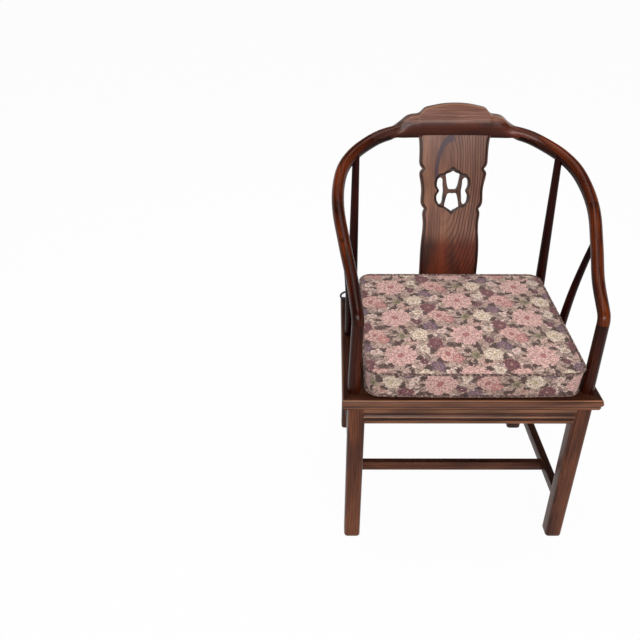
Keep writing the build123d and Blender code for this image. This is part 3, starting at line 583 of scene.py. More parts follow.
# Mirrors the rings for the left side and makes the piece.
def finishRail(name, rings, grain, side, shift):
    rings = rings * np.array([side, 1, 1])
    verts, faces = ringMesh(rings)
    around = np.linspace(0, 2 * math.pi, rings.shape[1], endpoint=False)
    # Painted shade on the lower side of the rail, darkest underneath.
    wearAndPaintedLight = np.tile(-0.8 * np.clip(0.3 - np.sin(around + 0.4), 0, 1), len(rings))
    grain = grain.reshape(-1, 3) + np.array([shift + side * 1.7, 0.004 * side, 0.003])
    addMesh(name, verts, faces, "rail", grain, wearAndPaintedLight)


for side, word in sides:
    armFront(side, word)
    cornerRings, cornerGrain = railRings(railSet["frontScarf"], railSet["rearScarf"])
    finishRail("arm_corner_" + word, cornerRings, cornerGrain, side, 0.9)
print("rail done")


crestSet = {
    "topArch": [(0.0, 0.8825), (0.020, 0.8818), (0.040, 0.8793), (0.056, 0.8758), (0.066, 0.8733)],
    "upperStep": [(0.072, 0.8702), (0.078, 0.8635), (0.084, 0.8585), (0.090, 0.8571)],
    "lowerStep": [(0.099, 0.8560), (0.108, 0.8530), (0.116, 0.8470), (0.123, 0.8405), (0.132, 0.8355),
                  (0.144, 0.8325), (0.160, 0.8305)],
    "bottom": 0.8090, "bottomFront": -0.0150, "bottomBack": 0.0045,
    "noseHeight": 0.8300, "noseFront": -0.0165,
    "crease": 0.8470, "creaseFront": -0.0105, "creaseBelowTop": 0.0130,
    "headTop": 0.8810, "headFront": 0.0070, "backTop": 0.0190, "backMiddle": 0.0205,
    "round": 0.0016,
    "blendFrom": 0.158, "blendTo": 0.122, "scarfFade": 0.05,
    "backBend": (0.8355, 0.8465), "backPull": 0.832, "backFoot": (0.0135, 0.8155), "backToe": 0.010,
}


# Height of the crest's stepped upper edge at a distance from the middle.
def crestTop(x, opts):
    points = np.array(opts["topArch"] + opts["upperStep"] + opts["lowerStep"])
    fine = smoothCurve(np.column_stack([points, np.zeros(len(points))]), 700, startDir=(1, 0, 0))
    return np.interp(np.abs(x), fine[:, 0], fine[:, 1])


# Quadratic curve from first to last, drawn towards pull.
def bezierArc(first, pull, last, count):
    t = np.linspace(0, 1, count)[:, None]
    return (1 - t) ** 2 * first + 2 * t * (1 - t) * pull + t**2 * last


# Closed section (outward offset, height): flat underside, full nose, leaning face, thin top, back.
def headSection(top, opts):
    point = lambda a, b: np.array([a, b])
    fold = min(opts["crease"], top - opts["creaseBelowTop"])
    lean = (opts["headFront"] - opts["creaseFront"]) / (opts["headTop"] - opts["crease"])
    foldAt = opts["creaseFront"] - 0.25 * lean * (opts["crease"] - fold)
    topAt = max(top, fold + 0.0005)
    faceTop = point(foldAt + lean * (topAt - fold), topAt)
    backAt = np.interp(topAt, [*opts["backBend"], opts["headTop"]],
                       [opts["backMiddle"], opts["backMiddle"], opts["backTop"]])
    backTop = point(backAt, topAt)
    bottomFront = point(opts["bottomFront"], opts["bottom"])
    bottomBack = point(opts["bottomBack"], opts["bottom"])
    crease = point(foldAt, fold)
    nose = point(opts["noseFront"], min(opts["noseHeight"], (opts["bottom"] + fold) / 2 + 0.002))
    corner = opts["round"]
    alongFace = (crease - faceTop) / max(np.linalg.norm(crease - faceTop), 1e-6)
    cut = min(corner, 0.45 * np.linalg.norm(crease - faceTop))
    parts = [
        np.linspace(bottomBack, bottomFront, 6)[:-1],
        bezierArc(bottomFront, nose, crease, 12)[:-1],
        np.linspace(crease, faceTop + alongFace * cut, 12)[:-1],
        bezierArc(faceTop + alongFace * cut, faceTop, faceTop + point(corner, 0), 5)[:-1],
        np.linspace(faceTop + point(corner, 0), backTop - point(corner, 0), 5)[:-1],
        bezierArc(backTop - point(corner, 0), backTop, backTop - point(0, corner), 5)[:-1],
        bezierArc(backTop - point(0, corner), point(opts["backMiddle"] + 0.001, opts["backPull"]),
                  point(*opts["backFoot"]), 9)[:-1],
        bezierArc(point(*opts["backFoot"]), point(opts["backToe"], opts["bottom"]), bottomBack, 5)[:-1],
    ]
    return np.concatenate(parts)


# Head sections blended into the round rail towards both scarfs.
def crestRings(opts):
    start = railSet["rearScarf"]
    station = np.concatenate([np.linspace(start, 0.80, 26)[:-1], np.linspace(0.80, 1.0, 110)])
    _, side, up = curveFrames(railRest)
    rings, grains, wearAndPaintedLights = [], [], []
    for at in station:
        centre = pick(railRest, at)
        x = centre[0]
        head = headSection(crestTop(x, opts), opts)
        wide, tall = railSizes(at)
        angle = np.arctan2((head[:, 1] - centre[2]) / tall, head[:, 0] / wide)
        oval = np.stack([wide * np.cos(angle), tall * np.sin(angle)], axis=1)
        share = np.clip((opts["blendFrom"] - x) / (opts["blendFrom"] - opts["blendTo"]), 0, 1)
        share = share * share * (3 - 2 * share)
        headLocal = np.stack([head[:, 0], head[:, 1] - centre[2]], axis=1)
        local = oval * (1 - share) + headLocal * share
        moved = at + scarfShift(at - start, opts["scarfFade"], local[:, 1] / tall)
        base, out, rise = pick(railRest, moved), pick(side, moved), pick(up, moved)
        rings.append(base + out * local[:, :1] + rise * local[:, 1:])
        grains.append(np.column_stack([np.full(len(local), (at - 1) * railRun), local]))
        wearAndPaintedLights.append(crestPaintedLightAndRub(len(local), share))
    return np.array(rings), np.array(grains), np.array(wearAndPaintedLights)


# Painted shade on the underside, thinning up the nose; a pale line on the head's front arris, partly rubbing
# and partly a painted highlight; painted shade on the thin top.
def crestPaintedLightAndRub(count, share):
    wearAndPaintedLight = np.zeros(count)
    wearAndPaintedLight[0:5] = -0.9
    wearAndPaintedLight[5:17] = np.linspace(-0.9, -0.05, 12) * share
    wearAndPaintedLight[27:31] = 0.3 * share
    wearAndPaintedLight[32:38] = -0.62 * share
    return wearAndPaintedLight


# Both halves as one ring mesh from scarf to scarf.
def makeCrest():
    rings, grain, wearAndPaintedLight = crestRings(crestSet)
    left = rings[::-1][1:] * np.array([-1, 1, 1])
    leftGrain = grain[::-1][1:] * np.array([-1, 1, 1])
    rings = np.concatenate([rings, left])
    grain = np.concatenate([grain, leftGrain])
    wearAndPaintedLight = np.concatenate([wearAndPaintedLight, wearAndPaintedLight[::-1][1:]])
    verts, faces = ringMesh(rings)
    grain = grain.reshape(-1, 3) + np.array([5.2, 0.0, 0.01])
    addMesh("crest_rail", verts, faces, "crest", grain, wearAndPaintedLight, sharp=50)


makeCrest()
print("crest done")


postSet = {
    # Each post gets painted shade; the side and rear posts also use the darker painted-shade copy of the wood.
    "front": {"foot": (0.2460, 0.0365), "sunk": 0.004, "sizes": (0.0270, 0.0250), "rings": 24,
              "grain": 7.1, "paintedShade": -0.6, "wood": "rail"},
    "side": {"foot": (0.2470, 0.2550), "sunk": 0.0, "top": (0.2686, 0.2160, 0.6850), "bow": 0.0057,
             "sizes": (0.0210, 0.0130), "rings": 30, "grain": 9.4, "paintedShade": -0.1, "wood": "paintedShade"},
    "rear": {"foot": (0.2349, 0.4065), "sunk": 0.0, "top": (0.2340, 0.4380, 0.7830),
             "sizes": (0.0255, 0.0168), "rings": 24, "grain": 12.7, "paintedShade": -0.2, "wood": "paintedShade"},
    "around": 32,
}


# Six round bars that taper along their lines, the left ones mirrored; they run into the rail and the frame.
def makePosts(around):
    for side, word in sides:
        for kind in ("front", "side", "rear"):
            opts = postSet[kind]
            foot = depth((*opts["foot"], seatTop)) - (0, 0, opts["sunk"])
            top = depth(opts["top"]) if "top" in opts else railArc[0]
            line = np.linspace(foot, top, opts["rings"])
            if "bow" in opts:
                middle = (foot + top) / 2 - (opts["bow"], 0, 0)
                line = smoothCurve(np.array([foot, middle, top]), opts["rings"])
            line = line * np.array([side, 1, 1])
            sweepBar(kind + "_post_" + word, line, roundProfile(around), opts["wood"],
                     (opts["grain"] + side, 0.01, 0.005), np.full(around, opts["paintedShade"]),
                     heading=(0, 1), sizes=np.linspace(*opts["sizes"], opts["rings"]) / 2)


makePosts(postSet["around"])
print("posts done")


frameSet = {
    "frontHalf": 0.2715, "rearHalf": 0.2630, "depth": 0.4300, "railWidth": 0.0520, "railHeight": 0.0260,
    "sidePaintedShade": -0.5,  # painted shade on every rail but the front one
    "profile": [  # inwards from the edge, down from the top, then a mark: painted shade on the top face and in the grooves, paler arrises partly from rubbing and partly a painted highlight
        (0.0530, 0.0, -0.6), (0.0060, 0.0, -0.6), (0.0040, -0.0001, -0.2), (0.0025, -0.0006, 0.35),
        (0.0015, -0.0014, 0.45), (0.0012, -0.0024, 0.2), (0.0014, -0.0031, -0.1), (0.0020, -0.0037, -0.7),
        (0.0018, -0.0043, -0.6), (0.0009, -0.0051, -0.1), (0.0002, -0.0066, 0.06), (0.0, -0.0086, 0.06),
        (0.0001, -0.0105, 0.06), (0.0006, -0.0126, 0.05), (0.0016, -0.0148, 0.0), (0.0028, -0.0168, 0.0),
        (0.0034, -0.0180, -0.15), (0.0035, -0.0193, -0.8), (0.0030, -0.0201, 0.0), (0.0027, -0.0208, 0.3),
        (0.0028, -0.0217, 0.2), (0.0036, -0.0225, -0.5), (0.0042, -0.0232, -0.1), (0.0042, -0.0260, 0.05),
        (0.0530, -0.0260, 0.0),
    ],
}

apronSet = {
    # sidePaintedShade is painted shade on every apron but the front one.
    "thickness": 0.0180, "setback": 0.0012, "sidePaintedShade": -0.4,
    # The last column marks painted shade in the grooves and the cove, and a paler fascia and bead, partly from
    # rubbing and partly a painted highlight.
    "profile": [
        (0.0180, 0.0, 0.0), (0.0, 0.0, 0.26), (0.0, -0.0156, 0.2), (0.0006, -0.0162, -0.4),
        (0.0024, -0.0168, -0.9), (0.0028, -0.0176, -0.6), (0.0027, -0.0252, -0.3), (0.0021, -0.0262, -0.5),
        (0.0008, -0.0270, 0.2), (0.0001, -0.0280, 0.42), (0.0, -0.0290, 0.48), (0.0003, -0.0300, 0.3),
        (0.0010, -0.0312, 0.1), (0.0022, -0.0332, -0.45), (0.0033, -0.0345, -0.75), (0.0034, -0.0382, -0.7),
        (0.0025, -0.0391, -0.3), (0.0013, -0.0397, 0.15), (0.0010, -0.0408, 0.2), (0.0010, -0.0458, 0.1),
        (0.0016, -0.0465, 0.0), (0.0180, -0.0465, 0.0),
    ],
}

legSet = {
    "size": 0.0366, "corner": 0.0080, "chamfer": 0.0020,
    # The rear legs are darkened by painted shade.
    "front": {"x": 0.2395, "top": 0.0310, "foot": 0.0280, "paintedShade": 0.0},
    "rear": {"x": 0.2349, "top": 0.4065, "foot": 0.4191, "paintedShade": -0.4},
}

barSet = {
    # The side stretchers are darkened by painted shade.
    "side": {"width": 0.0180, "height": 0.0240, "level": 0.1042, "paintedShade": -0.25},
    "cross": {"width": 0.0160, "height": 0.0245, "level": 0.0991, "at": 0.1500, "paintedShade": 0.0},
    "corner": 0.0016,
}

frameLow = seatTop - frameSet["railHeight"]


# A moulded board: each profile point lies on straight lines between matching end points, so that the
# ends are cut along the line from the outer to the inner corner.
def moulded(name, startOuter, endOuter, startInner, endInner, top, opts, span, shift, paintedShade):
    profile = np.array(opts["profile"])
    share = profile[:, :1] / span
    count = 30
    t = np.linspace(0, 1, count)[:, None, None]
    first = np.asarray(startOuter) + (np.asarray(startInner) - np.asarray(startOuter)) * share
    last = np.asarray(endOuter) + (np.asarray(endInner) - np.asarray(endOuter)) * share
    plan = first[None] * (1 - t) + last[None] * t
    height = np.broadcast_to((top + profile[:, 1])[None, :, None], (count, len(profile), 1))
    rings = depth(np.concatenate([plan, height], axis=2))
    run = np.linalg.norm(np.asarray(endOuter, float) - np.asarray(startOuter, float))
    along = np.linspace(0, run, count)[:, None]
    grain = np.stack(np.broadcast_arrays(along, profile[:, 0], profile[:, 1]), axis=-1) + (shift, 0.02, 0.01)
    verts, faces = ringMesh(rings)
    # The profile's marks, darkened further by the piece's painted shade.
    wearAndPaintedLight = np.tile(np.clip(profile[:, 2] * (1 + paintedShade) + paintedShade, -0.9, 1), (count, 1))
    addMesh(name, verts, faces, "frame", grain.reshape(-1, 3), wearAndPaintedLight, sharp=28)


# Four mitred rails round the panel.
def makeSeatFrame(opts):
    half = lambda y: opts["frontHalf"] + (opts["rearHalf"] - opts["frontHalf"]) * y / opts["depth"]
    w, d = opts["railWidth"] + 0.001, opts["depth"]
    outer = [(-half(0), 0), (half(0), 0), (half(d), d), (-half(d), d)]
    inner = [(-half(w) + w, w), (half(w) - w, w), (half(d - w) - w, d - w), (-half(d - w) + w, d - w)]
    for index, word in enumerate(("front", "right", "rear", "left")):
        after = (index + 1) % 4
        # Every rail but the front one is darkened by painted shade.
        moulded("seat_rail_" + word, outer[index], outer[after], inner[index], inner[after], seatTop, opts, w,
                20 + index * 3.3, 0.0 if word == "front" else opts["sidePaintedShade"])


# Four moulded boards between the legs; their ends run a little into the legs.
def makeAprons(opts):
    front, rear = legSet["front"], legSet["rear"]
    reach = legSet["size"] / 2 - opts["setback"]
    thick = opts["thickness"]
    fy, ry = front["top"] - reach, rear["top"] + reach
    fx, rx = front["x"] + reach, rear["x"] + reach
    spans = {
        "front": ((-front["x"], fy), (front["x"], fy), (-front["x"], fy + thick), (front["x"], fy + thick)),
        "right": ((fx, front["top"]), (rx, rear["top"]),
                  (fx - thick, front["top"]), (rx - thick, rear["top"])),
        "rear": ((rear["x"], ry), (-rear["x"], ry), (rear["x"], ry - thick), (-rear["x"], ry - thick)),
        "left": ((-rx, rear["top"]), (-fx, front["top"]),
                 (-rx + thick, rear["top"]), (-fx + thick, front["top"])),
    }
    for index, (word, (a, b, c, d)) in enumerate(spans.items()):
        # Every apron but the front one is darkened by painted shade.
        moulded("apron_" + word, a, b, c, d, frameLow, opts, thick, 40 + index * 2.9,
                0.0 if word == "front" else opts["sidePaintedShade"])


# Depth of a leg's middle at a level; the rear ones are raked.
def legAt(spec, level):
    return spec["foot"] + (spec["top"] - spec["foot"]) * level / frameLow


# Square legs with round corners: the section is carried from foot to frame and drawn in at the foot.
def makeLegs(opts):
    profile = roundedSquare(opts["size"], opts["size"], opts["corner"], 8)
    inner = roundedSquare(opts["size"] - 2 * opts["chamfer"], opts["size"] - 2 * opts["chamfer"],
                          opts["corner"] - opts["chamfer"], 8)
    levels = np.concatenate([[0.0, opts["chamfer"] * 0.3, opts["chamfer"]], np.linspace(0.01, frameLow, 24)])
    for pair in ("front", "rear"):
        spec = opts[pair]
        for side, word in sides:
            rings, grain = [], []
            for index, level in enumerate(levels):
                y = legAt(spec, level)
                section = inner if index == 0 else profile
                if index == 1:
                    section = inner * 0.35 + profile * 0.65
                x = side * spec["x"] + section[:, 0]
                rings.append(np.column_stack([x, section[:, 1] + y + frontY, np.full(len(x), level)]))
                grain.append(np.column_stack([np.full(len(x), level), section]))
            verts, faces = ringMesh(np.array(rings))
            shift = np.array([60 + 5 * side + (2 if pair == "rear" else 0), 0.02, 0.0])
            name = pair + "_leg_" + word
            addMesh(name, verts, faces, "leg", np.array(grain).reshape(-1, 3) + shift,
                    np.full(len(verts), spec["paintedShade"]))


# The bar's painted shade all round, more painted shade on the top, and a pale arris between the top and the
# sides, partly rubbing and partly a painted highlight.
def barPaintedShadeAndRub(profile, paintedShade):
    high = profile[:, 1] > profile[:, 1].max() - 0.0003
    edge = (np.abs(profile[:, 0]) > np.abs(profile[:, 0]).max() - 0.0012) & (profile[:, 1] > 0) & ~high
    edge &= profile[:, 1] > profile[:, 1].max() - 0.0014
    return np.where(high, paintedShade - 0.45, np.where(edge, 0.25, paintedShade))


# Plain bars with eased edges between the legs.
def makeStretchers(opts):
    front, rear = legSet["front"], legSet["rear"]
    spec = opts["side"]
    start = (front["x"], legAt(front, spec["level"]), spec["level"])
    end = (rear["x"], legAt(rear, spec["level"]), spec["level"])
    profile = roundedSquare(spec["width"], spec["height"], opts["corner"], 4)
    for side, word in sides:
        line = np.linspace(depth(start), depth(end), 30) * np.array([side, 1, 1])
        sweepBar("side_stretcher_" + word, line, profile, "leg", (80 + side, 0, 0),
                 barPaintedShadeAndRub(profile, spec["paintedShade"]))
    spec = opts["cross"]
    share = (spec["at"] - start[1]) / (end[1] - start[1])
    x = front["x"] + (rear["x"] - front["x"]) * share
    line = np.linspace(depth((-x, spec["at"], spec["level"])), depth((x, spec["at"], spec["level"])), 40)
    profile = roundedSquare(spec["width"], spec["height"], opts["corner"], 4)
    sweepBar("cross_stretcher", line, profile, "leg", (90, 0, 0),
             barPaintedShadeAndRub(profile, spec["paintedShade"]))


makeSeatFrame(frameSet)
makeAprons(apronSet)
makeLegs(legSet)
makeStretchers(barSet)
print("frame, legs and stretchers done")


splatSet = {
    "curve": [(0.4040, 0.4155), (0.4055, 0.4680), (0.4100, 0.5200), (0.4246, 0.5780), (0.4438, 0.6330),
              (0.4616, 0.6870), (0.4775, 0.7420), (0.4945, 0.7950), (0.5040, 0.8220)],
    "lower": [(0.0705, 0.4155), (0.0705, 0.4970), (0.0693, 0.5780), (0.0676, 0.6250), (0.0682, 0.6430),
              (0.0656, 0.6495)],
    "middle": [(0.0656, 0.6495), (0.0722, 0.6580), (0.0742, 0.6700), (0.0734, 0.6880), (0.0782, 0.7200),
               (0.0786, 0.7330), (0.0730, 0.7400)],
    "upper": [(0.0730, 0.7400), (0.0790, 0.7480), (0.0808, 0.7620), (0.0814, 0.7900), (0.0836, 0.8080),
              (0.0890, 0.8260)],
    "front": 0.0055, "back": -0.0055, "base": 0.0036, "field": 0.0050,
    "bead": 0.0036, "groove": 0.0034, "fretGroove": 0.0042,
    "edgeRound": 0.0008, "beadRound": 0.0017, "fretRound": 0.0012, "sunk": 0.002,
    # beadPaintedShade and groovePaintedShade are painted shade on the splat's bead, groove and back.
    "cuts": (0.42, 0.826, 0.0045), "beadPaintedShade": -0.6, "groovePaintedShade": -0.92,
}

fretSet = {
    "frame": [[(0.0000, 0.7460), (0.0047, 0.7420), (0.0123, 0.7375), (0.0228, 0.7298)],
              [(0.0228, 0.7298), (0.0314, 0.7290), (0.0389, 0.7215), (0.0433, 0.7110), (0.0424, 0.7000),
               (0.0366, 0.6905)],
              [(0.0366, 0.6905), (0.0418, 0.6820), (0.0424, 0.6715), (0.0370, 0.6595), (0.0290, 0.6530),
               (0.0214, 0.6515)],
              [(0.0214, 0.6515), (0.0123, 0.6460), (0.0047, 0.6405), (0.0000, 0.6356)]],
    "top": [[(0.0000, 0.7360), (0.0057, 0.7322), (0.0157, 0.7290)], [(0.0157, 0.7290), (0.0171, 0.7262)],
            [(0.0171, 0.7262), (0.0147, 0.7120), (0.0112, 0.6985), (0.0090, 0.6950), (0.0000, 0.6940)]],
    "bottom": [[(0.0000, 0.6845), (0.0104, 0.6838), (0.0123, 0.6810)],
               [(0.0123, 0.6810), (0.0157, 0.6680), (0.0181, 0.6535)],
               [(0.0181, 0.6535), (0.0157, 0.6510), (0.0057, 0.6482), (0.0000, 0.6440)]],
    "side": [[(0.0285, 0.7205), (0.0333, 0.7190), (0.0369, 0.7100), (0.0366, 0.7010), (0.0323, 0.6905)],
             [(0.0323, 0.6905), (0.0365, 0.6810), (0.0366, 0.6715), (0.0333, 0.6625), (0.0294, 0.6595)],
             [(0.0294, 0.6595), (0.0261, 0.6612), (0.0224, 0.6760), (0.0211, 0.6905), (0.0228, 0.7060),
              (0.0249, 0.7180), (0.0285, 0.7205)]],
}


# Smooth plane curve through points, at a fixed spacing.
def flatCurve(points, spacing=0.0012):
    points = np.asarray(points, float)
    count = max(3, int(lineLength(points) / spacing) + 1)
    line = smoothCurve(np.column_stack([points, np.zeros(len(points))]), count)
    return line[:, :2]


# The right half of an outline from its smooth parts, mirrored into a closed loop.
def halfLoop(parts):
    half = np.concatenate([flatCurve(part)[:-1] for part in parts] + [np.array(parts[-1][-1:])])
    left = half[::-1] * np.array([-1, 1])
    left = left[1:] if half[-1, 0] == 0 else left
    left = left[:-1] if half[0, 0] == 0 else left
    return np.concatenate([half, left])


# A closed outline of smooth parts that meet at cusps.
def closedLoop(parts, side=1):
    return np.concatenate([flatCurve(part)[:-1] for part in parts]) * np.array([side, 1])


# Each point moved along its outward normal; points that come too near the first outline are dropped.
def offsetLoop(loop, amount):
    ahead = np.roll(loop, -1, axis=0) - np.roll(loop, 1, axis=0)
    normal = np.stack([ahead[:, 1], -ahead[:, 0]], axis=1)
    normal /= np.linalg.norm(normal, axis=1, keepdims=True) + 1e-12
    area = np.sum(loop[:, 0] * np.roll(loop[:, 1], -1) - np.roll(loop[:, 0], -1) * loop[:, 1])
    moved = loop + normal * amount * np.sign(area)
    gap = np.linalg.norm(moved[:, None, :] - loop[None, :, :], axis=2).min(axis=1)
    return moved[gap > abs(amount) * 0.985]


# A board with holes from outlines in its plane (x, height), between two depths, with rounded edges.
def plate(loops, low, high, bevel, steps=2):
    data = bpy.data.curves.new("plate", "CURVE")
    data.dimensions = "2D"
    data.fill_mode = "BOTH"
    data.extrude = (high - low) / 2 - bevel
    data.bevel_depth = bevel
    data.bevel_resolution = steps
    data.offset = -bevel
    for loop in loops:
        spline = data.splines.new("POLY")
        spline.points.add(len(loop) - 1)
        flat = np.column_stack([loop, np.zeros(len(loop)), np.ones(len(loop))])
        spline.points.foreach_set("co", flat.ravel())
        spline.use_cyclic_u = True
    holder = bpy.data.objects.new("plate", data)
    mesh = bpy.data.meshes.new_from_object(holder)
    bpy.data.objects.remove(holder)
    bpy.data.curves.remove(data)
    for vertex in mesh.vertices:
        vertex.co.z += (high + low) / 2
    return mesh


# (x, height, depth in front of the centre line) to space: the board follows its S curve.
def bendToSplat(places):
    curve = np.array(splatSet["curve"])
    fine = smoothCurve(np.column_stack([curve, np.zeros(len(curve))]), 500)[:, :2]
    slope = np.gradient(fine[:, 0], fine[:, 1])
    y = np.interp(places[:, 1], fine[:, 1], fine[:, 0])
    lean = np.arctan(np.interp(places[:, 1], fine[:, 1], slope))
    return np.column_stack([places[:, 0], y - places[:, 2] * np.cos(lean) + frontY,
                            places[:, 1] + places[:, 2] * np.sin(lean)])


# Base board with the fret cut out, a raised field, and a rounded bead along its edges and the fret.
def makeSplat(opts):
    outline = halfLoop([opts["lower"], opts["middle"], opts["upper"]])
    fretFrame = halfLoop(fretSet["frame"])
    holes = [halfLoop(fretSet["top"]), halfLoop(fretSet["bottom"]), closedLoop(fretSet["side"]),
             closedLoop(fretSet["side"], -1)]
    beadInside = offsetLoop(outline, -opts["bead"])
    fieldEdge = offsetLoop(outline, -opts["bead"] - opts["groove"])
    fretBead = offsetLoop(fretFrame, -opts["fretGroove"])
    low, front = opts["base"] - opts["sunk"], opts["front"]
    parts = [
        plate([outline, *holes], opts["back"], opts["base"], opts["edgeRound"]),
        plate([outline, beadInside], low, front, opts["beadRound"], 3),
        plate([fretBead, *holes], low, front, opts["fretRound"], 3),
        plate([fieldEdge, fretFrame], low, opts["field"], 0.0, 0),
    ]
    merged = bmesh.new()
    for part in parts:
        merged.from_mesh(part)
        bpy.data.meshes.remove(part)
    bmesh.ops.remove_doubles(merged, verts=merged.verts, dist=1e-6)
    for cut in np.arange(*opts["cuts"]):
        geometry = merged.verts[:] + merged.edges[:] + merged.faces[:]
        bmesh.ops.bisect_plane(merged, geom=geometry, plane_co=(0, cut, 0), plane_no=(0, 1, 0))
    bmesh.ops.triangulate(merged, faces=merged.faces[:])
    mesh = bpy.data.meshes.new("back_splat_wood")
    merged.to_mesh(mesh)
    merged.free()
    facing = np.zeros(len(mesh.polygons) * 3)
    mesh.polygons.foreach_get("normal", facing)
    level = np.abs(facing.reshape(-1, 3)[:, 2]) > 0.999  # faces that lie flat before the board is bent
    flat = np.zeros(len(mesh.vertices) * 3)
    mesh.vertices.foreach_get("co", flat)
    flat = flat.reshape(-1, 3)
    mesh.vertices.foreach_set("co", bendToSplat(flat).ravel())
    rise = flat[:, 2]
    # Painted shade: the bead darker, the groove and the back of the board darker still; the field keeps its
    # own colour.
    beadPaintedShade = np.where(rise > opts["field"] + 0.0001, opts["beadPaintedShade"], 0.0)
    splatPaintedShade = np.where(rise < opts["front"] - 0.0007, opts["groovePaintedShade"], beadPaintedShade)
    splatPaintedShade[np.abs(rise - opts["field"]) < 0.0001] = 0.0
    addWoodMaps(mesh, np.column_stack([flat[:, 1], flat[:, 0], rise]), splatPaintedShade)
    mesh.polygons.foreach_set("use_smooth", ~level)
    mesh.set_sharp_from_angle(angle=math.radians(35))
    piece = linkObject("back_splat_wood", mesh)
    finishPiece(piece, "back_splat", woods["splat"])


makeSplat(splatSet)
print("splat done")


for name in ("seat_panel", "panel_batten_right", "panel_batten_left", "frame_pins", "rail_scarf_keys"):
    nodes[name].data.materials.clear()
    nodes[name].data.materials.append(woods["bare_boards"])


cushionSet = {
    "frontHalf": 0.2275, "rearHalf": 0.2195, "front": 0.0105, "rear": 0.3970, "shift": 0.0020,
    "frontHeight": 0.0625, "rearHeight": 0.0800, "tuck": 0.0035, "frontCorner": 0.0300, "rearCorner": 0.0270,
    "columns": 84, "rows": 72, "sideRows": 11,
    "lift": 0.0050, "crown": 0.004, "bulge": 0.004,
    "welt": 0.0027, "pressure": 4.5, "frames": 20, "cap": 0.011,
    "cloth": {"quality": 6, "mass": 0.25, "tension_stiffness": 22, "compression_stiffness": 18,
              "shear_stiffness": 8, "bending_stiffness": 1.2, "air_damping": 4},
}


# Square (u, v in -1..1) to the cushion's rounded plan: each corner square is drawn into a quarter disc.
def cushionPlan(u, v, opts):
    rear, front = opts["rear"], opts["front"]
    halfDepth = (rear - front) / 2
    halfWide = (opts["frontHalf"] + opts["rearHalf"]) / 2
    x, y = u * halfWide, v * halfDepth
    radius = np.where(v < 0, opts["frontCorner"], opts["rearCorner"])
    a = np.clip((np.abs(x) - (halfWide - radius)) / radius, 0, 1)
    b = np.clip((np.abs(y) - (halfDepth - radius)) / radius, 0, 1)
    newX = np.where((a > 0) & (b > 0), halfWide - radius + radius * a * np.sqrt(1 - b * b / 2), np.abs(x))
    newY = np.where((a > 0) & (b > 0), halfDepth - radius + radius * b * np.sqrt(1 - a * a / 2), np.abs(y))
    x, y = np.sign(x) * newX, np.sign(y) * newY
    share = (y + halfDepth) / (2 * halfDepth)
    x = x * (opts["frontHalf"] + (opts["rearHalf"] - opts["frontHalf"]) * share) / halfWide
    bulge = -opts["bulge"] * np.clip(1 - (x / opts["frontHalf"]) ** 2, 0, 1) * np.clip(1 - share * 3, 0, 1)
    return x + opts["shift"], y + (rear + front) / 2 + bulge


# Grid indices round the edge, anticlockwise from the front left corner.
def rimOrder(columns, rows):
    front = [(i, 0) for i in range(columns)]
    right = [(columns - 1, j) for j in range(1, rows)]
    back = [(i, rows - 1) for i in range(columns - 2, -1, -1)]
    left = [(0, j) for j in range(rows - 2, 0, -1)]
    return front + right + back + left


# Top and bottom panels on the same grid, and the border between their rims; with the cloth's own map.
def cushionShape(opts):
    columns, rows = opts["columns"], opts["rows"]
    u, v = np.meshgrid(np.linspace(-1, 1, columns), np.linspace(-1, 1, rows), indexing="ij")
    x, y = cushionPlan(u, v, opts)
    share = (y - opts["front"]) / (opts["rear"] - opts["front"])
    height = opts["frontHeight"] + (opts["rearHeight"] - opts["frontHeight"]) * np.clip(share, 0, 1)
    crown = opts["crown"] * (1 - u**4) * (1 - v**4)
    topZ, lowZ = seatTop + height + crown, np.full_like(x, seatTop + opts["lift"])
    top = np.stack([x, y + frontY, topZ], axis=-1).reshape(-1, 3)
    middle = (opts["front"] + opts["rear"]) / 2
    lowX, lowY = x * (1 - opts["tuck"] / opts["frontHalf"]), y + (middle - y) * opts["tuck"] / 0.19
    low = np.stack([lowX, lowY + frontY, lowZ], axis=-1).reshape(-1, 3)
    rim = np.array([i * rows + j for i, j in rimOrder(columns, rows)])
    ringCount = opts["sideRows"]
    steps = np.arange(1, ringCount) / ringCount
    verts = np.concatenate([top, low] + [top[rim] * (1 - t) + low[rim] * t for t in steps])
    grid = np.arange(columns * rows).reshape(columns, rows)
    cells = np.stack([grid[:-1, :-1], grid[1:, :-1], grid[1:, 1:], grid[:-1, 1:]], axis=-1).reshape(-1, 4)
    lowCells = cells[:, ::-1] + columns * rows
    start = 2 * columns * rows
    layers = [start + k * len(rim) + np.arange(len(rim)) for k in range(ringCount - 1)]
    layers = [rim, *layers, rim + columns * rows]
    sideCells = []
    for upper, lower in zip(layers, layers[1:]):
        sideCells.append(np.stack([upper, lower, np.roll(lower, -1), np.roll(upper, -1)], axis=-1))
    sideCells = np.concatenate(sideCells)
    faces = np.concatenate([cells, lowCells, sideCells])
    run = lineRun(top[np.append(rim, rim[0])])
    flatUv = np.column_stack([x.ravel(), y.ravel()])
    sideUv = []
    for k in range(ringCount):
        for index in range(len(rim)):
            upper, lower = (0.9 - 0.07 * level / ringCount for level in (k, k + 1))
            near, far = run[index], run[index + 1]
            sideUv += [(near, upper), (near, lower), (far, lower), (far, upper)]
    loopUv = np.concatenate([flatUv[cells.ravel()], flatUv[(lowCells - columns * rows).ravel()] + (1.3, 0.4),
                             np.array(sideUv)])
    pinned = np.zeros(len(verts))
    pinned[rim] = 1
    pinned[columns * rows:2 * columns * rows] = 1
    return verts, faces, loopUv, pinned, top[rim], low[rim]


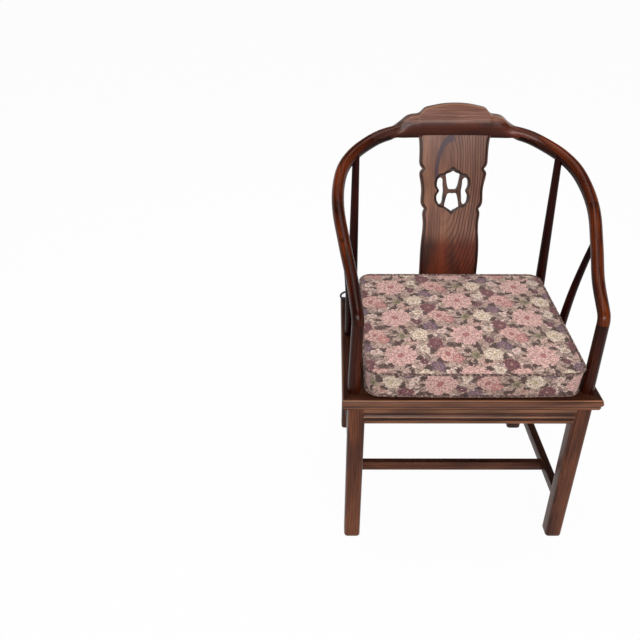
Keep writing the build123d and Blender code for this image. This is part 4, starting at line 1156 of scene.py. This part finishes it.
# Cloth under pressure from inside, seams and underside held; movement is capped and then applied.
def puffUp(piece, pinned, opts):
    start = np.array([v.co for v in piece.data.vertices])
    group = piece.vertex_groups.new(name="held")
    for index in np.nonzero(pinned)[0].tolist():
        group.add([index], 1.0, "REPLACE")
    cloth = piece.modifiers.new("cloth", "CLOTH")
    settings = cloth.settings
    for key, value in opts["cloth"].items():
        setattr(settings, key, value)
    settings.use_pressure = True
    settings.uniform_pressure_force = opts["pressure"]
    settings.vertex_group_mass = "held"
    settings.effector_weights.gravity = 0
    cloth.point_cache.frame_end = opts["frames"]
    scene = bpy.context.scene
    for number in range(1, opts["frames"] + 1):
        scene.frame_set(number)
    graph = bpy.context.evaluated_depsgraph_get()
    shaped = piece.evaluated_get(graph)
    end = np.array([v.co for v in shaped.data.vertices])
    piece.modifiers.remove(cloth)
    scene.frame_set(1)
    move = end - start
    size = np.linalg.norm(move, axis=1, keepdims=True)
    move = move * np.minimum(1, opts["cap"] / np.maximum(size, 1e-9))
    piece.data.vertices.foreach_set("co", (start + move).ravel())
    piece.data.update()
    return float(size.max())


# Piping: a round cord in bias cloth along a seam, slightly uneven.
def makeWelt(name, rim, radius, fabric, phase):
    line = np.asarray(rim)
    count = len(line)
    loop = np.concatenate([line[-2:], line, line[:2]])
    tangent = np.gradient(loop, axis=0)[2:-2]
    tangent /= np.linalg.norm(tangent, axis=1, keepdims=True)
    outward = np.cross(tangent, (0, 0, 1))
    outward /= np.linalg.norm(outward, axis=1, keepdims=True)
    up = np.cross(outward, tangent)
    angle = np.linspace(0, 2 * math.pi, 14, endpoint=False)
    run = lineRun(line)
    swell = 0.06 * np.sin(run * 2 * math.pi / 0.021 + phase) + 0.05 * np.sin(run * 2 * math.pi / 0.0131)
    size = radius * (1 + swell)
    rings = ringsAlong(line, outward, up, np.cos(angle) * size[:, None], np.sin(angle) * size[:, None])
    verts, faces = ringMesh(rings, wrap=True)
    mesh = bpy.data.meshes.new(name)
    mesh.from_pydata(verts.tolist(), [], faces)
    smoothFaces(mesh)
    uv = mesh.uv_layers.new(name="cloth")
    corner = np.zeros(len(mesh.loops), int)
    mesh.loops.foreach_get("vertex_index", corner)
    ring, spot = corner // len(angle), corner % len(angle)
    wrapRing = np.repeat(ring.reshape(-1, 4).max(axis=1) - ring.reshape(-1, 4).min(axis=1) > 1, 4)
    ringAt = np.where(wrapRing & (ring == 0), count, ring)
    wrapSpot = np.repeat(spot.reshape(-1, 4).max(axis=1) - spot.reshape(-1, 4).min(axis=1) > 1, 4)
    spotAt = np.where(wrapSpot & (spot == 0), len(angle), spot)
    total = np.append(run, run[-1] + np.linalg.norm(line[0] - line[-1]))
    bias = total[ringAt] * 0.7
    girth = spotAt / len(angle) * 2 * math.pi * radius
    place = np.column_stack([bias + phase, girth + 2.0 + bias])
    uv.data.foreach_set("uv", place.ravel())
    piece = linkObject(name, mesh)
    finishPiece(piece, None, fabric)


# The cushion's cover, puffed up, and its two welts.
def makeCushion(opts, fabric):
    verts, faces, loopUv, pinned, topRim, lowRim = cushionShape(opts)
    mesh = bpy.data.meshes.new("seat_cushion")
    mesh.from_pydata(verts.tolist(), [], faces.tolist())
    uv = mesh.uv_layers.new(name="cloth")
    uv.data.foreach_set("uv", loopUv.ravel())
    smoothFaces(mesh)
    piece = linkObject("cushion_cover", mesh)
    print("cushion moved at most", round(puffUp(piece, pinned, opts), 4))
    smooth = piece.modifiers.new("smooth", "SUBSURF")
    smooth.levels = 1
    smooth.render_levels = 1
    piece.data.materials.append(fabric)
    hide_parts("seat_cushion")
    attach(piece, "root")
    piping = makePiping(pipingSet)
    for name, rim, phase in (("cushion_welt_top", topRim, 0.3), ("cushion_welt_bottom", lowRim, 1.1)):
        makeWelt(name, rim, opts["welt"], piping, phase)


clothShine = {"Specular IOR Level": 0.25, "Sheen Weight": 0.12}


# One repeat of the cloth, placed in half-drop columns: every flower below comes once in it. Metres.
fabricSet = {
    "repeat": (0.148, 0.134),
    "ground": {"first": (206, 172, 160), "second": (190, 162, 148), "pale": (238, 210, 196),
               "deep": (104, 78, 74), "line": (44, 32, 31), "leaf": 0.0092},
    "columns": ("at", "radius", "petals", "rings", "scallop", "twist", "tip", "base", "line", "heart",
                "leaves", "reach", "leaf", "leafDark"),
    "flowers": [
        ((0.010, 0.066), 0.0120, 6, 1.6, 0.5, 0.4,
         (164, 150, 122), (116, 104, 80), (51, 44, 37), (104, 90, 72),
         9, 2.5, (190, 162, 148), (100, 78, 72)),
        ((0.026, 0.044), 0.0190, 7, 2.6, 0.6, 1.1,
         (214, 180, 166), (184, 142, 132), (69, 48, 45), (176, 120, 112), 0),
        ((0.098, 0.004), 0.0265, 6, 3.0, 0.6, 1.4,
         (222, 182, 170), (196, 142, 134), (74, 48, 47), (178, 112, 112),
         8, 1.5, (196, 166, 152), (104, 82, 75)),
        ((0.074, -0.036), 0.0170, 8, 2.2, 0.5, 0.9,
         (148, 118, 126), (106, 78, 92), (47, 34, 42), (160, 128, 120),
         7, 1.6, (184, 156, 142), (95, 73, 68)),
        ((0.0, 0.0), 0.0350, 9, 5.0, 0.95, 2.6,
         (228, 188, 178), (196, 144, 138), (62, 38, 38), (182, 116, 116),
         13, 1.36, (184, 154, 140), (91, 68, 63)),
        ((0.047, 0.070), 0.0215, 5, 3.2, 0.55, 2.4,
         (234, 214, 194), (202, 174, 154), (76, 57, 50), (206, 178, 140),
         7, 1.5, (178, 152, 136), (90, 70, 63)),
        ((0.078, 0.038), 0.0180, 9, 2.4, 0.5, 0.7,
         (140, 92, 94), (106, 62, 70), (48, 28, 34), (176, 136, 122), 0),
        ((-0.030, 0.056), 0.0145, 6, 2.2, 0.55, 1.0,
         (208, 152, 144), (178, 116, 114), (93, 51, 54), (224, 192, 168), 0),
        ((0.052, 0.020), 0.0115, 5, 1.5, 0.5, 0.0,
         (230, 212, 194), (204, 176, 158), (74, 56, 50), (180, 128, 100), 0),
        ((-0.052, 0.014), 0.0105, 5, 1.5, 0.5, 0.0,
         (228, 206, 192), (208, 164, 158), (74, 54, 50), (170, 104, 94), 0),
        ((0.046, -0.018), 0.0100, 7, 1.5, 0.5, 0.0,
         (128, 84, 90), (98, 60, 70), (47, 29, 35), (190, 150, 130), 0),
    ],
    "warp": 0.0200, "warpScale": 50.0, "yarns": (0.0009, 0.0011),
}


# Where a point of the cloth is from the nearest copy of a spot: column = round(x / width), and each column
# drops by half the height of the one before.
def fromCopy(cloth, at, size):
    parts = addNode("ShaderNodeSeparateXYZ", {0: cloth}).outputs
    across = calc("DIVIDE", minus(parts[0], at[0]), size[0])
    column = calc("ROUND", across)
    along = calc("DIVIDE", minus(parts[1], at[1]), size[1])
    along = minus(along, times(column, 0.5))
    x = times(minus(across, column), size[0])
    y = times(minus(along, calc("ROUND", along)), size[1])
    return x, y


# A ring of leaves: in each sector the half width is 0.47 sin(pi t), with t from 0 to 1 along the leaf.
def leafRing(tone, reach, angle, spec):
    turn = times(angle, spec["leaves"] / (2 * math.pi))
    off = calc("ABSOLUTE", minus(calc("FRACT", turn), 0.5))
    along = calc("DIVIDE", minus(reach, 0.72), spec["reach"] - 0.72)
    along = calc("MINIMUM", calc("MAXIMUM", along, 0.0), 1.0)
    half = times(calc("SINE", times(along, math.pi)), 0.47)
    inside = minus(half, off)
    other = calc("FRACT", times(calc("FLOOR", turn), 0.5))
    leaf = blendColour(times(other, 2.0), spec["leaf"], spec["leafDark"])
    veins = calc("FRACT", times(minus(along, off), 6.0))
    dark = times(rampValue(veins, 0.7, 0.95), 0.35)
    dark = calc("MAXIMUM", dark, rampValue(off, 0.07, 0.02))
    dark = calc("MAXIMUM", dark, rampValue(inside, 0.07, 0.0))
    leaf = blendColour(times(dark, 0.75), leaf, spec["line"])
    return blendColour(rampValue(inside, 0.0, 0.04), tone, leaf)


# A flower: rings of petals count out as s = rings r / R - scallop |cos(petals a / 2)|^0.6, so that each ring
# bulges at the middle of its petals; fract(s) runs from a petal's shaded foot to its pale tip.
def addFlower(tone, cloth, ragged, size, spec):
    x, y = fromCopy(cloth, spec["at"], size)
    square = plus(times(x, x), times(y, y))
    reach = calc("DIVIDE", calc("SQRT", square), spec["radius"])
    reach = times(reach, ragged)
    angle = calc("ARCTAN2", y, x)
    if spec["leaves"]:
        tone = leafRing(tone, reach, angle, spec)
    turned = plus(angle, times(reach, spec["twist"]))
    lobe = calc("ABSOLUTE", calc("COSINE", times(turned, spec["petals"] / 2)))
    count = minus(times(reach, spec["rings"]),
                 times(calc("POWER", lobe, 0.6), spec["scallop"]))
    last = spec["rings"] - spec["scallop"]
    step = calc("FRACT", count)
    petal = blendColour(rampValue(step, 0.0, 0.8), spec["base"], spec["tip"])
    heart = rampValue(reach, 0.24, 0.14)
    petal = blendColour(heart, petal, spec["heart"])
    dark = calc("MAXIMUM", rampValue(step, 0.16, 0.03), rampValue(lobe, 0.24, 0.05, 0.0, 0.8))
    dark = calc("MAXIMUM", dark, rampValue(count, last - 0.16, last - 0.02))
    petal = blendColour(times(dark, 0.8), petal, spec["line"])
    return blendColour(rampValue(count, last + 0.02, last - 0.04), tone, petal)


# Ground of small leaves: cells of random tone with thin outlines, over a slow change between two colours.
def clothGround(cloth, spec):
    slow = noise(cloth, 26.0, 2.0, 0.5)
    tone = blendColour(rampValue(slow, 0.38, 0.62), spec["first"], spec["second"])
    scale = 1 / spec["leaf"]
    cells = addNode("ShaderNodeTexVoronoi", {"Vector": cloth, "Scale": scale}, voronoi_dimensions="2D")
    draw = addNode("ShaderNodeSeparateColor", {0: cells.outputs["Color"]}).outputs
    tone = blendColour(rampValue(draw[0], 0.45, 0.75, 0.0, 0.75), tone, spec["pale"])
    tone = blendColour(rampValue(draw[1], 0.55, 0.8, 0.0, 0.7), tone, spec["deep"])
    rings = calc("FRACT", times(cells.outputs["Distance"], 3.2))
    edges = addNode("ShaderNodeTexVoronoi", {"Vector": cloth, "Scale": scale}, voronoi_dimensions="2D",
                    feature="DISTANCE_TO_EDGE").outputs["Distance"]
    dark = calc("MAXIMUM", rampValue(edges, 0.09, 0.02), rampValue(rings, 0.78, 0.98, 0.0, 0.5))
    return blendColour(times(dark, 0.8), tone, spec["line"])


# Woven floral cloth: the flowers over the leafy ground, wavered a little, then speckled by the yarns.
def makeFabric(opts):
    material, tree, output = newMaterial("tapestry")
    place = addNode("ShaderNodeUVMap", tree=tree, uv_map="cloth").outputs[0]
    soft = addNode("ShaderNodeTexNoise", {"Vector": place, "Scale": opts["warpScale"], "Detail": 4.0,
                   "Roughness": 0.62})
    middle = (0.5, 0.5, 0.5)
    shift = addNode("ShaderNodeVectorMath", {0: soft.outputs["Color"], 1: middle}, operation="SUBTRACT")
    shift = addNode("ShaderNodeVectorMath", {0: shift.outputs[0], "Scale": opts["warp"]}, operation="SCALE")
    cloth = addNode("ShaderNodeVectorMath", {0: place, 1: shift.outputs[0]}, operation="ADD").outputs[0]
    tone = clothGround(cloth, opts["ground"])
    ragged = plus(0.66, times(noise(place, 150.0, 2.0, 0.6), 0.68))
    for row in opts["flowers"]:
        tone = addFlower(tone, cloth, ragged, opts["repeat"], dict(zip(opts["columns"], row)))
    speckle = noise(place, 620.0, 1.0, 0.6)
    tone = blendColour(1.0, tone, rampValue(speckle, 0.38, 0.62, 0.66, 1.28), mode="MULTIPLY")
    threads = noise(place, 250.0, 1.0, 0.5)
    tone = blendColour(rampValue(threads, 0.56, 0.7, 0.0, 0.5), tone, opts["ground"]["line"])
    parts = addNode("ShaderNodeSeparateXYZ", {0: place}).outputs
    waves = [calc("SINE", times(parts[k], math.pi / opts["yarns"][k])) for k in (0, 1)]
    height = plus(plus(*(calc("ABSOLUTE", wave) for wave in waves)), speckle)
    finishShader(output, tone, 0.85, height, 0.35, **clothShine)
    return material


pipingSet = {"dark": (62, 46, 46), "middle": (128, 100, 92), "pale": (196, 166, 150), "scale": 190.0}


# The same cloth cut on the bias and wrapped round a cord: its flowers read only as dark and pale stretches.
def makePiping(opts):
    material, tree, output = newMaterial("piping")
    place = addNode("ShaderNodeUVMap", tree=tree, uv_map="cloth").outputs[0]
    blotch = noise(place, opts["scale"], 2.0, 0.6)
    yarn = noise(place, 900.0, 1.0, 0.5)
    tone = blendColour(rampValue(blotch, 0.38, 0.52), opts["dark"], opts["middle"])
    tone = blendColour(rampValue(blotch, 0.54, 0.66), tone, opts["pale"])
    tone = blendColour(1.0, tone, rampValue(yarn, 0.36, 0.64, 0.7, 1.1), mode="MULTIPLY")
    finishShader(output, tone, 0.85, yarn, 0.35, **clothShine)
    return material


makeCushion(cushionSet, makeFabric(fabricSet))
print("cushion done")


braidSet = {"dark": (14, 11, 12), "light": (96, 88, 90), "scale": 900.0}


# Dark yarn with paler flecks.
def makeBraid(opts):
    material, tree, output = newMaterial("braid")
    spot = addNode("ShaderNodeTexCoord", tree=tree).outputs["Object"]
    flecks = noise(spot, opts["scale"], 1.0, 0.5)
    tone = blendColour(rampValue(flecks, 0.52, 0.66), opts["dark"], opts["light"])
    finishShader(output, tone, 0.8, flecks, 0.5, distance=0.0006)
    return material


braid = makeBraid(braidSet)
for tie in ties:
    tie.data.materials.append(braid)


lightSet = {
    "floor": (235, 235, 235), "floorHalf": 30, "floorGlow": 0.97,
    "skyFade": (0.22, 0.36),
    "sky": 0.26,        # what lights matt surfaces
    "skyShine": 0.04,   # what polish shows of the room above; near the horizon it is as white as the floor
    "lamps": [  # the first two light matt surfaces, the others show only in polish
        {"place": (0.1, -2.9, 2.4), "aim": (0, 0, 0.5), "size": (2.0, 1.4), "power": 62, "matt": True},
        {"place": (-0.1, 0.5, 3.0), "aim": (0, 0, 0.5), "size": (2.6, 2.6), "power": 52, "matt": True},
        {"place": (-0.5, -2.7, 2.3), "aim": (0, 0, 0.7), "size": (2.6, 0.8), "power": 130, "matt": False},
        {"place": (-0.1, 0.15, 2.7), "aim": (-0.1, 0.1, 0.5), "size": (1.3, 1.3), "power": 18, "matt": False},
    ],
}


# Floor: white to the eye and in polish or glass, matt for everything else, so the shadow stays in it.
def makeFloor(opts):
    mesh = bpy.data.meshes.new("floor")
    size = opts["floorHalf"]
    corners = [(-size, -size, 0), (size, -size, 0), (size, size, 0), (-size, size, 0)]
    mesh.from_pydata(corners, [], [(0, 1, 2, 3)])
    floor = linkObject("floor", mesh)
    material, tree, output = newMaterial("floor")
    rays = addNode("ShaderNodeLightPath", tree=tree).outputs
    seen = plus(rays["Is Camera Ray"], rays["Is Glossy Ray"])
    seen = plus(seen, rays["Is Transmission Ray"], clamp=True)
    matt = addNode("ShaderNodeBsdfDiffuse", {"Color": colour(opts["floor"])}, tree).outputs[0]
    glow = addNode("ShaderNodeEmission", {"Color": (1, 1, 1, 1), "Strength": 1.0}, tree).outputs[0]
    share = times(seen, opts["floorGlow"])
    mix = addNode("ShaderNodeMixShader", {0: share, 1: matt, 2: glow}).outputs[0]
    tree.links.new(mix, output.inputs[0])
    mesh.materials.append(material)


# Soft lamps aimed at the seat; the world is white to the eye and dimmer as a light.
def makeLights(opts):
    for index, spec in enumerate(opts["lamps"]):
        data = bpy.data.lights.new("lamp%d" % index, "AREA")
        data.shape = "RECTANGLE"
        data.size, data.size_y = spec["size"]
        data.energy = spec["power"]
        lamp = linkObject("lamp%d" % index, data)
        lamp.location = spec["place"]
        way = Vector(spec["aim"]) - Vector(spec["place"])
        lamp.rotation_euler = way.to_track_quat("-Z", "Y").to_euler()
        lamp.visible_diffuse = spec["matt"]
        lamp.visible_glossy = not spec["matt"]
    world = bpy.data.worlds.new("world")
    world.use_nodes = True
    tree = world.node_tree
    tree.nodes.clear()
    rays = addNode("ShaderNodeLightPath", tree=tree).outputs
    way = addNode("ShaderNodeTexCoord", tree=tree).outputs["Generated"]
    rise = addNode("ShaderNodeSeparateXYZ", {0: way}).outputs[2]
    shine = rampValue(rise, *opts["skyFade"], 1.0, opts["skyShine"])
    seen = plus(rays["Is Camera Ray"], rays["Is Transmission Ray"], clamp=True)
    matt = minus(minus(1.0, seen), rays["Is Glossy Ray"])
    strength = plus(seen, times(shine, rays["Is Glossy Ray"]))
    strength = plus(strength, times(calc("MAXIMUM", matt, 0.0), opts["sky"]))
    sky = addNode("ShaderNodeBackground", {"Color": (1, 1, 1, 1), "Strength": strength})
    output = tree.nodes.new("ShaderNodeOutputWorld")
    tree.links.new(sky.outputs[0], output.inputs[0])
    bpy.context.scene.world = world
    bpy.context.scene.view_settings.view_transform = "Standard"


makeFloor(lightSet)
makeLights(lightSet)
